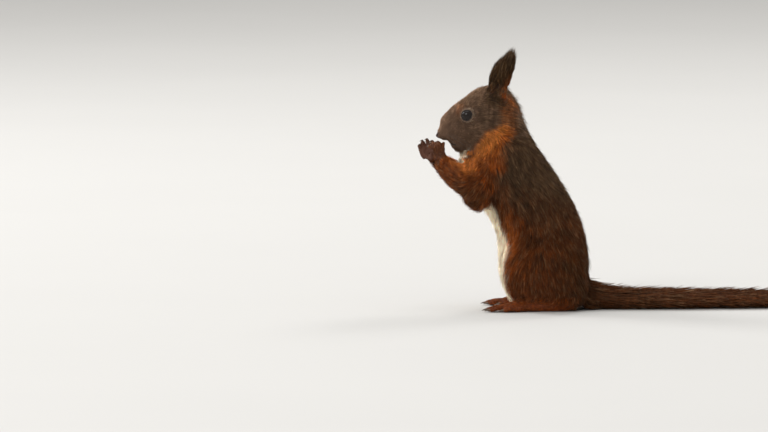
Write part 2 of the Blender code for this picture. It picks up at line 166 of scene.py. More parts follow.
combPlan = {
    "near": 3,  # mm from a line over which its pull hardly falls
    "ear": 40, "tail": 20, "arm": 6, "foot": 8,  # how much stronger a limb's line is on the limb itself
}


def combDirection(points, normals, names):
    total = np.zeros_like(points)
    onEar, onTail, onArm, onFoot = (starting(names, start) for start in ("ear", "tail", "fore", "hind_foot"))
    for name, (line, weight) in combLines.items():
        gap, heading, _ = nearestOnLine(points, line)
        share = weight / (gap ** 2 + combPlan["near"] ** 2) ** 1.5
        if name.startswith("ear"):
            share = np.where(onEar, share * combPlan["ear"], 0)
        elif name == "tail":
            byTail = 0.2 + 1.6 * np.exp(-(gap / 11) ** 2)
            share = np.where(onTail, share * combPlan["tail"], share * byTail)
        elif name.startswith("arm"):
            byArm = share * ease(11, 18, np.abs(points[:, 0])) * 0.7
            share = np.where(onArm, share * combPlan["arm"], byArm)
        elif name.startswith("foot"):
            share = np.where(onFoot, share * combPlan["foot"], 0)
        total += heading * share[:, None]
    return unit(laidFlat(total, normals))


# Meshes and their arrays
def column(collection, key, width, kind=np.float32):
    values = np.empty(len(collection) * width, kind)
    collection.foreach_get(key, values)
    return values.reshape(-1, width) if width > 1 else values


def pointsOf(mesh):
    return column(mesh.vertices, "co", 3).astype(float) / mm


def placePoints(mesh, points):
    mesh.vertices.foreach_set("co", (points * mm).ravel())
    mesh.update()


def normalsOf(mesh):
    return column(mesh.vertex_normals, "vector", 3)


def edgesOf(mesh):
    return column(mesh.edges, "vertices", 2, np.int32)


def meshFrom(work, name):
    # a mesh from a bmesh that isn't needed again
    mesh = bpy.data.meshes.new(name)
    work.to_mesh(mesh)
    work.free()
    mesh.polygons.foreach_set("use_smooth", np.ones(len(mesh.polygons), bool))
    return mesh


def linked(name, content):
    piece = bpy.data.objects.new(name, content)
    bpy.context.scene.collection.objects.link(piece)
    return piece


def evaluated(content, modifier=None, **values):
    # the mesh that a curve gives, or a mesh after one modifier
    scratch = linked("scratch", content)
    if modifier:
        step = scratch.modifiers.new(modifier, modifier)
        for key, value in values.items():
            setattr(step, key, value)
    seen = scratch.evaluated_get(bpy.context.evaluated_depsgraph_get())
    made = bpy.data.meshes.new_from_object(seen)
    bpy.data.objects.remove(scratch)
    return made


def remeshed(mesh, voxel):
    return evaluated(mesh, "REMESH", mode="VOXEL", voxel_size=voxel * mm)


def thinned(mesh, triangles):
    now = sum(len(face.vertices) - 2 for face in mesh.polygons)
    return evaluated(mesh, "DECIMATE", ratio=min(1.0, triangles / now))


def neighbourMean(values, ends, count):
    wide = values.reshape(count, -1)
    total = np.empty_like(wide, dtype=float)
    for place in range(wide.shape[1]):
        total[:, place] = np.bincount(ends[:, 0], wide[ends[:, 1], place], count)
        total[:, place] += np.bincount(ends[:, 1], wide[ends[:, 0], place], count)
    joined = np.bincount(ends.ravel(), minlength=count)
    return (total / np.maximum(joined, 1)[:, None]).reshape(values.shape)


def smoothed(values, ends, rounds, strength=0.5):
    values = np.array(values, float)
    for _ in range(rounds):
        values += (neighbourMean(values, ends, len(values)) - values) * strength
    return values


def taperedHorn(work, stations, radii, corners):
    last = len(stations) - 1
    rings = []
    for index, (place, radius) in enumerate(zip(stations, radii)):
        run = Vector(stations[min(index + 1, last)]) - Vector(stations[max(index - 1, 0)])
        stand = Matrix.Translation(Vector(place) * mm) @ run.to_track_quat("Z", "Y").to_matrix().to_4x4()
        made = bmesh.ops.create_circle(work, cap_ends=index in (0, last), segments=corners,
                                       radius=radius * mm, matrix=stand)
        rings.append(set(made["verts"]))
    for low, high in zip(rings, rings[1:]):
        edges = set()
        for ring in (low, high):
            edges |= {edge for vert in ring for edge in vert.link_edges if set(edge.verts) <= ring}
        bmesh.ops.bridge_loops(work, edges=list(edges))


def cutAway(part, place, normal):
    # removes what lies past a plane and closes the cut
    everything = part.verts[:] + part.edges[:] + part.faces[:]
    bmesh.ops.bisect_plane(part, geom=everything, plane_co=place, plane_no=normal, clear_outer=True)
    bmesh.ops.holes_fill(part, edges=[edge for edge in part.edges if edge.is_boundary])


# The skin: the CAD form grown together, then drawn in by the depth of the coat.
skinPlan = {
    "swell": 0.35,  # closes the gaps between the CAD pieces
    "firstVoxel": 0.46,
    "lastVoxel": 0.4,
    "triangles": 165000,
    "insetSteps": 8,
    "earLength": 0.66,  # of the ear's outline, and the tuft takes the rest
    "earWidth": 0.97,
    "stubEnd": 31.6,  # where the rump stops and the tail's core goes on
    "tailRadii": [9.8, 9.4, 8.4, 6.6, 5.0, 4.3, 3.8, 3.2, 2.4, 1.2],
}
coatPlan = {  # depth, tuft length, tuft half width in mm, and tufts to a square mm
    "head": (1.5, 3.4, 0.14, 3.3),
    "neck": (3.0, 7.0, 0.2, 2.3),
    "chest": (3.6, 8.5, 0.2, 2.2),
    "abdomen": (3.8, 9.5, 0.2, 2.2),
    "rump": (3.8, 9.0, 0.2, 2.0),
    "tail": (4.0, 9.0, 0.27, 1.2),
    "ear": (0.7, 4.5, 0.16, 3.0),
    "eye": (1.0, 2.6, 0.14, 3.0),
    "forearm": (1.9, 5.0, 0.17, 2.7),
    "forepaw": (0.14, 1.7, 0.11, 4.2),
    "hind_leg": (3.0, 8.0, 0.2, 2.2),
    "hind_foot": (0.45, 2.0, 0.15, 2.4),
}


def planned(names):
    # the coat's plan for each name, which may end in a side or in a part of the tail
    return np.array([coatPlan.get(name) or coatPlan[name.rsplit("_", 1)[0]] for name in names])


foreClaws = {
    "tips": {
        "left": [(3.8, -77.3, 111.3), (3.4, -75.8, 113.5), (3.6, -72.8, 113.9), (4.2, -69.4, 112.2)],
        "right": [(-3.2, -83.4, 111.7), (-3, -82, 114.6), (-3.2, -78.8, 115.6), (-3.8, -75.6, 114.2)],
    },
    "reach": 2.2, "sink": 1.0, "radius": 0.42, "hook": 0.8,
    "forward": (1.25, 1.15, 0.1), "droop": (-0.6, -0.2, -0.8),
}
hindClaws = {
    "ball": (21, -22), "turn": 9, "fan": 4.5, "pitch": 3.1, "level": 1.9,
    "toes": [10.5, 14, 15.5, 14.5, 9.5], "setbacks": [5, 0.6, 0, 0.6, 5],
    "reach": 4.6, "sink": 1.4, "radius": 0.78, "hook": 0.9,
}
handPlan = {
    "wrist": {"left": (9, -67, 98.5), "right": (-9, -71.5, 101)},
    "knuckles": {"left": (7.9, -69.6, 106.4), "right": (-7.7, -76.8, 106)},
    "pitch": 2.4, "slim": 0.28, "cut": 1.4,
    "radii": [1.4, 1.26, 1.12, 1.26, 0.95],
    # part of the way to the wrist, place across, radius and height
    "pads": [(0.22, 2.6, 0.85, 0.5), (0.2, 0.1, 0.85, 0.55), (0.22, -2.5, 0.85, 0.5), (0.52, 1.8, 1.2, 0.7),
             (0.5, -1.7, 1.2, 0.65)],
}


def fingerLine(side, rank):
    knuckles = np.array(handPlan["knuckles"][side])
    tip = np.array(foreClaws["tips"][side][rank])
    spread = rank - 1.5
    root = knuckles + np.array((0, handPlan["pitch"] * spread, -1.6 - 0.5 * abs(spread)))
    bend = root + (tip - root) * 0.55 + np.array((1.7 * sides[side], -0.3, 0.7))
    return [root - (tip - root) * 0.25, root, bend, bend + (tip - bend) * 0.7, tip]


def toeLine(rank, sign):
    middle = (len(hindClaws["toes"]) - 1) / 2
    spread = (rank - middle) * hindClaws["pitch"]
    turn = math.radians(hindClaws["turn"] + hindClaws["fan"] * (rank - middle))
    forward = np.array((math.sin(turn) * sign, -math.cos(turn), 0))
    across, back = hindClaws["ball"]
    root = np.array(((across + 0.82 * spread) * sign, back + hindClaws["setbacks"][rank], hindClaws["level"]))
    return root, forward, root + forward * hindClaws["toes"][rank]


def reshapeHand(part, side):
    # the palm is cut at the knuckles, and slim fingers grow from it
    wrist, knuckles = (Vector(handPlan[name][side]) * mm for name in ("wrist", "knuckles"))
    hand = (knuckles - wrist).normalized()
    cutAway(part, knuckles - hand * handPlan["cut"] * mm, hand)
    for vert in part.verts:
        reached = (vert.co - wrist).dot(hand) / (knuckles - wrist).length
        middle = wrist.y + (knuckles.y - wrist.y) * reached
        vert.co.y -= (vert.co.y - middle) * handPlan["slim"] * float(ease(0, 0.6, reached))
    for rank in range(len(foreClaws["tips"][side])):
        taperedHorn(part, [tuple(place) for place in fingerLine(side, rank)], handPlan["radii"], 12)
    bmesh.ops.recalc_face_normals(part, faces=part.faces)


def shortenEar(part, side):
    # draws the ear's leaf down its own axis, inside the outline that the tuft fills
    low, high = (np.array(earLines[side][end]) for end in (0, -1))
    run = unit(high - low)
    for vert in part.verts:
        offset = np.array(vert.co) / mm - low
        along = float(offset @ run)
        aside = offset - run * along
        if along > 0:
            along *= skinPlan["earLength"]
            aside = aside * skinPlan["earWidth"]
        vert.co = Vector((low + run * along + aside) * mm)


def copiedNode(node):
    part = bmesh.new()
    part.from_mesh(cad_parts[node].data)
    bmesh.ops.remove_doubles(part, verts=part.verts, dist=1e-6)
    side = node.rsplit("_", 1)[-1]
    if node.startswith("ear"):
        shortenEar(part, side)
    elif node == "rump":
        cutAway(part, (0, skinPlan["stubEnd"] * mm, 0), (0, 1, 0))
    elif node.startswith("forepaw"):
        reshapeHand(part, side)
        return part
    part.normal_update()
    for vert in part.verts:
        vert.co += vert.normal * skinPlan["swell"] * mm
    return part


def tailCore():
    curve = bpy.data.curves.new("tailCore", "CURVE")
    curve.dimensions = "3D"
    curve.bevel_depth = mm
    curve.bevel_resolution = 4
    curve.use_fill_caps = True
    spline = curve.splines.new("POLY")
    spline.points.add(len(tailLine) - 1)
    for spot, place, radius in zip(spline.points, tailLine, skinPlan["tailRadii"]):
        spot.co = (*(Vector(place) * mm), 1)
        spot.radius = radius
    return evaluated(curve)


def joinedForm():
    # every fleshy node in one bmesh, and the node that each of its faces is from
    form = bmesh.new()
    owner = []
    for node in sorted(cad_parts):
        if node.startswith("tail"):
            continue
        form.from_mesh(meshFrom(copiedNode(node), "scratch"))
        owner += [node] * (len(form.faces) - len(owner))
    form.from_mesh(tailCore())
    form.faces.ensure_lookup_table()
    tailFrom = [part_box(node)[0].y for node in ("tail_middle", "tail_end")]
    for face in form.faces[len(owner):]:
        away = sum(face.calc_center_median().y > start for start in tailFrom)
        owner.append(("tail_base", "tail_middle", "tail_end")[away])
    return form, np.array(owner)


def nearestOwners(form, owner, points):
    tree = BVHTree.FromBMesh(form)
    found = [tree.find_nearest(Vector(point * mm))[2] for point in points]
    return owner[found]


def coatDepths(points, names):
    depth = planned(names)[:, 0]
    along, _, _ = headPlace(points)
    onHead = starting(names, "head", "eye") & (along < 60)
    depth[onHead] = 0.35 + 1.9 * ease(1, 44, along[onHead])
    for line in earLines.values():
        gap, _, _ = nearestOnLine(points, line)
        depth *= 0.2 + 0.8 * ease(5, 10, gap)
    beforeTail = fade(23, 33, points[:, 1])  # the tail's core is made at its own thickness
    return np.where(starting(names, "tail"), depth * beforeTail, depth)


def slimmer(points):
    # a little more is taken off under the elbows and down the belly, where the coat hangs longest
    x, y, z = points.T
    elbow = np.linalg.norm((np.abs(points) - (16, 50, 71)) * (0.7, 1, 1), axis=1)
    belly = band(z, 46, 76, 8) * fade(-30, -20, y) * fade(14, 24, np.abs(x))
    return 3.0 * np.exp(-(elbow / 11) ** 2) * (y < 0) + 2.0 * belly


def drawnIn(mesh, form, owner):
    ends = edgesOf(mesh)
    points = pointsOf(mesh)
    names = nearestOwners(form, owner, points)
    depth = smoothed(coatDepths(points, names) + slimmer(points), ends, 12)
    points = smoothed(points, ends, 1)
    for _ in range(skinPlan["insetSteps"]):
        placePoints(mesh, points)
        points = points - normalsOf(mesh) * (depth / skinPlan["insetSteps"])[:, None]
        eased = smoothed(points, ends, 1)
        points += (eased - points) * ease(0.6, 2.5, depth)[:, None] * 0.6
    nape = band(points[:, 2], 108, 132, 6) * ease(-42, -33, points[:, 1])
    points += (smoothed(points, ends, 150, 0.9) - points) * nape[:, None]
    placePoints(mesh, points)
    return mesh


# Lids, nose and mouth
facePlan = {
    "gaze": (0.95, -0.26, 0.16),
    "openWide": 3.55, "openHigh": 3.25,
    "lidGap": 0.12, "lidThick": 0.36,
    "evenRim": 0.065,  # how near the opening, in radians, the skin is drawn to the rim
    "shaped": (10, 1.75),  # how far from the eye's middle, and how far round from the gaze, the lids reach
    "rimRound": 0.1, "lidRun": (0.16, 0.62),  # radians from the opening to the full lid, then to the face
    "socket": 7.2, "socketRounds": 40,
    # how far the skin is moved, in mm
    "lipsBack": 2.3, "tipForward": 0.5, "jawDown": 1.9, "tipDown": 0.9, "browDown": 1.1, "throatForward": 3.0,
}
# places on the head as along, up and out
nostrilLine = [(0.5, -0.3, 0.9), (1.1, 0.1, 1.7), (2.3, 0.9, 2.5)]
mouthLine = [(3.0, -5.0, 0.0), (4.2, -8.2, 1.8), (6.2, -11.2, 4.2), (9.4, -12.4, 6.8)]
philtrumLine = [(0.6, -1.2, 0.0), (1.6, -2.6, 0.0), (2.9, -4.6, 0.0)]
faceForms = [  # a place, then the radius and height of each swelling or hollow
    (6.0, -4.0, 5.2, 3.4, 0.8), (15.5, 1.5, 9.0, 4.2, -0.7), (24.0, 6.8, 9.0, 4.0, 0.55),
    (30.0, -9.0, 13.0, 7.0, 0.5), (5.6, 3.6, 0.8, 2.8, -0.45), (10.0, 7.2, 1.0, 3.5, 0.3),
    (7.6, -14.5, 2.6, 3.2, 0.5),
]
refined = [  # a place, a radius
    (eyeMiddle["left"], 8.5), (eyeMiddle["right"], 8.5), (headPoint(2, -4), 9.0), (headPoint(1, -1), 4.2),
]


def gazeFrame(side):
    gaze = unit(np.array(facePlan["gaze"]) * (sides[side], 1, 1))
    level = unit(headBack - gaze * float(headBack @ gaze))
    return gaze, level, np.cross(gaze, level)


def lidOpening(turn):
    wide, high = np.cos(turn) / facePlan["openWide"], np.sin(turn) / facePlan["openHigh"]
    return np.arcsin(1 / np.sqrt(wide ** 2 + high ** 2) / eyeRadius)


def eyeAngles(points, side):
    gaze, level, rise = gazeFrame(side)
    offset = points - eyeMiddle[side]
    reach = np.linalg.norm(offset, axis=1)
    heading = offset / np.maximum(reach, 1e-6)[:, None]
    turn = np.arctan2(heading @ rise, heading @ level)
    return reach, np.arccos(np.clip(heading @ gaze, -1, 1)), turn


def shapeLids(points):
    # the skin wraps round behind each eyeball and comes out as a lid with a rounded rim
    inner = eyeRadius + facePlan["lidGap"]
    for side in sides:
        gaze, level, rise = gazeFrame(side)
        reach, angle, turn = eyeAngles(points, side)
        near = (reach < facePlan["shaped"][0]) & (angle < facePlan["shaped"][1])
        opening = lidOpening(turn)
        angle = np.where(near & (np.abs(angle - opening) < facePlan["evenRim"]), opening, angle)
        inside = near & (angle < opening)
        outside = near & ~inside
        lid = inner + facePlan["lidThick"] * ease(0, facePlan["rimRound"], angle - opening)
        blend = ease(*facePlan["lidRun"], angle - opening)
        clear = np.maximum(reach, (eyeRadius + 0.3) * fade(1.3, 1.7, angle))
        reach = np.where(outside, lid * (1 - blend) + clear * blend, reach)
        backed = opening + (opening - angle) / opening * (math.pi - opening)
        reach = np.where(inside, inner, reach)
        angle = np.where(inside, backed, angle)
        heading = np.cos(angle)[:, None] * gaze
        aside = np.cos(turn)[:, None] * level + np.sin(turn)[:, None] * rise
        heading = heading + np.sin(angle)[:, None] * aside
        points = np.where(near[:, None], eyeMiddle[side] + heading * reach[:, None], points)
    return points


def shapeSnout(points):
    # the lips stand back under the nose, and the jaw hangs deeper behind them
    x, y, z = points.T
    along, up, out = headPlace(points)
    near = (along < 60) & (along > -12) & (out < 24)
    lips = np.exp(-((up + 6.5) / 4.2) ** 2) * fade(0, 13, along) * near
    jaw = np.exp(-((along - 13) / 6.5) ** 2) * fade(-18, -9, up) * fade(8, 14, out) * near
    tip = np.exp(-(gapTo(points, headPoint(0, 0)) / 3.6) ** 2)
    brow = np.exp(-((along - 31) / 11) ** 2) * ease(6, 12, up) * near
    back = facePlan["lipsBack"] * lips - facePlan["tipForward"] * tip
    down = facePlan["jawDown"] * jaw + facePlan["tipDown"] * tip + facePlan["browDown"] * brow
    throat = band(z, 99, 109, 5) * fade(4, 10, np.abs(x)) * fade(-46, -36, y)
    forward = np.array([0, -facePlan["throatForward"], 0]) * throat[:, None]
    return points + back[:, None] * headBack - down[:, None] * headUp + forward


def onSkin(tree, places):
    return [np.array(tree.find_nearest(Vector(place) * mm)[0]) / mm for place in places]


def denser(line, steps=5):
    line = np.array(line, float)
    marks = np.linspace(0, len(line) - 1, (len(line) - 1) * steps + 1)
    return [[np.interp(mark, range(len(line)), line[:, axis]) for axis in range(3)] for mark in marks]


def carvedLines(tree):
    # the nostrils, the mouth and the grooves of the toes and fingers, laid on the skin
    lines = {"nostril": [], "mouth": [], "philtrum": [], "toe": [], "finger": []}
    for side, sign in sides.items():
        for name, line in (("nostril", nostrilLine), ("mouth", mouthLine), ("philtrum", philtrumLine)):
            places = [headPoint(along, up, out * sign) for along, up, out in denser(line)]
            lines[name].append(onSkin(tree, places))
        toes = [toeLine(rank, sign) for rank in range(len(hindClaws["toes"]))]
        for (root, forward, tip), (nextRoot, _, nextTip) in zip(toes, toes[1:]):
            lines["toe"].append([(root + nextRoot) / 2 + forward * 4, (tip + nextTip) / 2])
        fingers = [fingerLine(side, rank) for rank in range(len(foreClaws["tips"][side]))]
        for finger, nextFinger in zip(fingers, fingers[1:]):
            between = [(place + nextPlace) / 2 for place, nextPlace in zip(finger[:4], nextFinger[:4])]
            for aside in (-2.4, 2.4):
                lines["finger"].append(onSkin(tree, [(x + aside, y, z) for x, y, z in denser(between, 3)]))
    return lines


def palmPads():
    for side, sign in sides.items():
        wrist, knuckles = (np.array(handPlan[name][side], float) for name in ("wrist", "knuckles"))
        for part, across, radius, height in handPlan["pads"]:
            place = knuckles + (wrist - knuckles) * part + np.array((-4.0 * sign, across, 0))
            yield place, radius, height


def groove(gap, deep, wide):
    return deep * np.exp(-(gap / wide) ** 2)


groovePlan = {"philtrum": (0.3, 0.35), "finger": (0.55, 0.42), "toe": (1.0, 0.5)}  # depth, width
rimPlan = {  # the groove's depth, width and fading, then its rim's distance, height and width
    "nostril": (1.0, 0.5, 0.7, 1.0, 0.3, 0.4),
    "mouth": (1.1, 0.5, 0.6, 1.4, 0.4, 0.7),
}


def carved(points, normals, tree, lines):
    sink = np.zeros(len(points))
    for name, (deep, wide, fading, away, high, soft) in rimPlan.items():
        for line in lines[name]:
            gap, _, along = nearestOnLine(points, line)
            sink += groove(gap, deep, wide) * (1 - fading * along)
            sink -= groove(gap - away, high, soft) * (1 - along)
    for line in lines["philtrum"]:
        gap, _, _ = nearestOnLine(points, line)
        sink += groove(gap, *groovePlan["philtrum"])
    for line in lines["finger"]:
        gap, _, along = nearestOnLine(points, line)
        sink += groove(gap, *groovePlan["finger"]) * ease(0.1, 0.4, along)
    flatter = (1, 1, 0.3)  # a toe's groove is cut upright
    for line in lines["toe"]:
        gap, _, _ = nearestOnLine(points * flatter, [place * flatter for place in line])
        sink += groove(gap, *groovePlan["toe"])
    swellings = [(headPoint(along, up, out * sign), radius, height)
                 for along, up, out, radius, height in faceForms for sign in (1, -1)]
    for place, radius, height in swellings + list(palmPads()):
        sink -= groove(gapTo(points, onSkin(tree, [place])[0]), height, radius)
    return points - normals * sink[:, None]


def refine(work, centre, radius):
    near = {vert for vert in work.verts if (vert.co - Vector(centre * mm)).length < radius * mm}
    edges = [edge for edge in work.edges if near.issuperset(edge.verts)]
    bmesh.ops.subdivide_edges(work, edges=edges, cuts=1, use_grid_fill=True, smooth=0)


def makeSkin():
    form, owner = joinedForm()
    raw = bpy.data.meshes.new("raw")
    form.to_mesh(raw)
    first = drawnIn(remeshed(raw, skinPlan["firstVoxel"]), form, owner)
    work = bmesh.new()
    work.from_mesh(thinned(remeshed(first, skinPlan["lastVoxel"]), skinPlan["triangles"]))
    for centre, radius in refined:
        refine(work, centre, radius)
    bmesh.ops.triangulate(work, faces=[face for face in work.faces if len(face.verts) > 4])
    mesh = meshFrom(work, "skin")
    ends = edgesOf(mesh)
    points = smoothed(pointsOf(mesh), ends, 1)
    calmer = smoothed(points, ends, facePlan["socketRounds"], 0.8)
    for middle in eyeMiddle.values():
        socket = np.exp(-(gapTo(points, middle) / facePlan["socket"]) ** 6)
        points += (calmer - points) * socket[:, None]
    points = shapeLids(shapeSnout(points))
    placePoints(mesh, points)
    tree = BVHTree.FromPolygons((points * mm).tolist(), [list(face.vertices) for face in mesh.polygons])
    lines = carvedLines(tree)
    points = carved(points, normalsOf(mesh), tree, lines)
    points[:, 2] = np.maximum(points[:, 2], 0.05)
    placePoints(mesh, points)
    names = nearestOwners(form, owner, points)
    form.free()
    return linked("skin", mesh), points, names, lines


def unwrapSkin(piece):
    bpy.context.view_layer.objects.active = piece
    piece.select_set(True)
    piece.data.uv_layers.new(name="OFBake")
    bpy.ops.object.mode_set(mode="EDIT")
    bpy.ops.mesh.select_all(action="SELECT")
    bpy.ops.uv.smart_project(angle_limit=math.radians(66), island_margin=0.002)
    bpy.ops.object.mode_set(mode="OBJECT")
    piece.select_set(False)


skin, skinPoints, skinNames, skinLines = makeSkin()
print("skin made:", len(skin.data.polygons), "faces")
unwrapSkin(skin)
print("skin unwrapped")


# Markings, from places on the body: each is a mask from 0 to 1.
markPlan = {
    # heights, then distances back
    "spine": ([8, 28, 43, 59, 76, 91, 104, 128], [4, 1, 0, -5, -13, -21, -27, -36]),
    "cheekRear": ([94, 112], [-33, -24.5]),
    # heights, then degrees round from the middle of the belly
    "bellyEdge": ([30, 46, 54, 66, 80, 92], [40, 39, 36, 31, 28, 34]),
    # distances back, then heights of the forearm's upper edge
    "armRidge": ([-76, -62, -50, -40], [104, 92, 86, 92]),
    # how strong each mark is
    "rufous": {"flank": 0.8, "elbow": 0.6, "arm": 0.34, "armTop": 0.5, "paw": 0.22, "foot": 0.75,
               "thigh": 0.7, "earBack": 0.75, "nape": 0.42, "brow": 0.3},
    # dark hair, and painted shade under the chin, on the haunches and under the arms
    "darkAndShade": {"chin": 0.2, "earFoot": 0.9, "haunchShade": 0.52, "arm": 0.45, "paw": 0.3},
    # painted light: how strongly each place is brightened as if lit from behind
    "paintedLight": {"cheek": 0.95, "crown": 0.34, "earBack": 0.35, "armTop": 0.08, "armCrest": 0.7,
              "belly": 0.2, "thigh": 0.12},
    "eyeRing": 0.13,
}


def mostOf(mask, area, values):
    return np.maximum(mask, np.where(area, values, 0))


def lidGaps(points):
    # at each eye: distance from its middle, and the angle from the opening's rim
    for side in sides:
        reach, angle, turn = eyeAngles(points, side)
        yield reach, angle - lidOpening(turn)


def bareMasks(points, normals, names):
    # the skin that shows: nose, lips, palms, soles, lids and the cups of the ears
    onHead = starting(names, "head", "eye")
    onPaw, onFoot = (starting(names, start) for start in ("forepaw", "hind_foot"))
    nose = np.where(onHead, fade(2.1, 2.9, gapTo(points, headPoint(0.5, 0.0))), 0)
    lips, lids, cup = np.zeros((3, len(points)))
    for name, wide in (("mouth", 0.55), ("nostril", 0.35)):
        for line in skinLines[name]:
            gap, _, _ = nearestOnLine(points, line)
            lips = mostOf(lips, onHead, fade(wide, wide + 0.35, gap))
    inward = -normals[:, 0] * np.sign(points[:, 0])
    palm = np.where(onPaw, ease(-0.05, 0.3, inward) * ease(99.5, 102, points[:, 2]), 0)
    for side, sign in sides.items():
        for tip in foreClaws["tips"][side]:
            palm = mostOf(palm, onPaw, fade(1.2, 2.2, gapTo(points, tip)) * 0.55)
        facing = normals @ unit(np.array([0.62 * sign, -0.79, 0.1]))
        cup = mostOf(cup, names == "ear_" + side, ease(0.35, 0.8, facing))
    for reach, past in lidGaps(points):
        lids = mostOf(lids, reach < 9, fade(0.07, 0.14, past))
    sole = np.where(onFoot, ease(0.7, 0.92, -normals[:, 2]), 0)
    return {
        "nose": nose, "palm": np.maximum(palm, sole), "lids": np.maximum(lids, lips), "cup": cup,
        "bare": np.max([nose, lips, palm, sole, lids], axis=0),
    }


def furMasks(points, names):
    x, y, z = np.abs(points[:, 0]), points[:, 1], points[:, 2]
    along, up, out = headPlace(points)
    onHead = starting(names, "head", "eye")
    onNape = onHead | (names == "neck")
    onArm, onPaw, onFoot, onLeg, onEar, onTail = (
        starting(names, start) for start in ("fore", "forepaw", "hind_foot", "hind_leg", "ear", "tail"))
    onTrunk = ~(onHead | onArm | onFoot | onLeg | onEar | onTail)
    red, dark, bright = (markPlan[name] for name in ("rufous", "darkAndShade", "paintedLight"))
    ripple = 1.6 * np.sin(0.31 * z + 0.17 * y) + 1.1 * np.sin(0.53 * y - 0.23 * z + 0.4 * x)
    spineY = np.interp(z, *markPlan["spine"])
    girth = np.degrees(np.arctan2(x * 1.05, spineY - y))  # 0 in the middle of the belly, 180 along the spine
    girth = np.where(z > 118, np.maximum(girth, 90), girth)

    # the belly, the throat and the bib between the arms
    paleEdge = np.interp(z, *markPlan["bellyEdge"])
    pale = np.where(onTrunk, fade(-9, 10, girth + ripple * 1.4 - paleEdge), 0)
    pale *= 1 - ease(8.5, 12.5, x + 0.4 * ripple) * band(z, 60, 94, 5)
    throat = fade(-21.5, -17.5, up) * fade(8, 12, out)
    pale = np.where(onHead, throat * ease(4, 9, along) * fade(26, 36, along), pale)
    bib = fade(105, 108.5, z) * ease(84, 90, z) * fade(7.5, 11, x) * band(y, -62, -38, 3.5)
    pale = mostOf(pale, ~(onPaw | onFoot), bib)
    pale = np.where(onArm, bib * ease(-55, -49, y) * fade(5, 8, x), pale)

    # the cheek, from behind the jaw down over the shoulder
    cheekFront = -37.4 - (127.5 - z) * 0.56
    cheekTop = np.minimum(127, 122 + (y + 42) * 0.45)
    cheekRear = np.interp(z, *markPlan["cheekRear"])
    cheek = ease(-2.5, 2.5, y + 0.4 * ripple - cheekFront) * fade(-4.5, 3, y - ripple - cheekRear)
    cheek *= ease(82, 90, z + 0.6 * ripple) * fade(-2.5, 2.5, z + 0.5 * ripple - cheekTop)

    # the red hair: flanks, elbows, cheek, limbs, brow, nape and the roots of the ears
    flank = band(girth + ripple * 2, 34, 66, 12) * (red["flank"] - 0.5 * ease(60, 74, z))
    elbow = red["elbow"] * ease(9.5, 14, x) * band(z, 60, 92, 5) * fade(-40, -30, y)
    overArm = z - np.interp(y, *markPlan["armRidge"])
    armTop = ease(-3, 7, overArm)
    nape = band(z, 122, 146, 5) * ease(-34, -29, y) * fade(-25, -19, y) * ease(5, 11, x)
    earBack = band(z + (y + 22) * 0.9, 139, 151, 3) * ease(-27.5, -24, y) * ease(3, 8, x)
    earUp = ease(144, 157, z - (y + 30) * 0.8)
    earRear = ease(-31.5, -26.5, y - (z - 145) * 0.36)
    rufous = np.where(onTrunk, np.maximum(flank, elbow), 0)
    rufous = mostOf(rufous, onTrunk | onHead, cheek * ease(8, 14, x))
    for area, values in (
        (onArm, (red["arm"] + red["armTop"] * armTop) * (1 - ease(-42, -30, y) * 0.5)),
        (onPaw, red["paw"]),
        (onFoot, red["foot"]),
        (onLeg, 0.2 + red["thigh"] * fade(-28, -16, y)),
        (onEar, fade(152, 166, z) * (0.5 + 0.45 * earRear)),
    ):
        rufous = np.where(area, values, rufous)
    rufous = mostOf(rufous, onNape, np.maximum(earBack * red["earBack"], nape * red["nape"]))
    for sign in sides.values():
        gap = gapTo(points, headPoint(22.5, 7.5, 9.5 * sign))
        rufous = mostOf(rufous, onHead, red["brow"] * np.exp(-(gap / 3.6) ** 2))

    # the dark hair of the ears and paws, and painted shade under the chin, low on the haunches and under the
    # arms
    earFoot = band(z, 140, 152, 3.5) * band(y, -40, -27, 2.5) * ease(6, 9, x)
    # painted shade under the jaw
    chin = dark["chin"] * band(up, -30, -10, 4) * fade(14, 24, along)
    darkAndShade = np.zeros(len(points))
    for area, values in (
        (onEar, 0.4 + 0.6 * earUp - 0.4 * earRear * fade(150, 162, z)),
        (onHead, np.maximum(earFoot * dark["earFoot"], chin)),
        # painted shade low on the rear haunches
        (onTrunk | onLeg, dark["haunchShade"] * ease(0, 20, y) * fade(36, 62, z) * (1 - pale)),
        # painted shade on the underside of the arms
        (onArm, dark["arm"] * fade(82, 100, z) * ease(-66, -54, y)),
        (onPaw, dark["paw"]),
    ):
        darkAndShade = np.where(area, values, darkAndShade)
    for reach, past in lidGaps(points):
        pale = np.maximum(pale, markPlan["eyeRing"] * np.where(reach < 8, band(past, 0.1, 0.27, 0.06), 0))

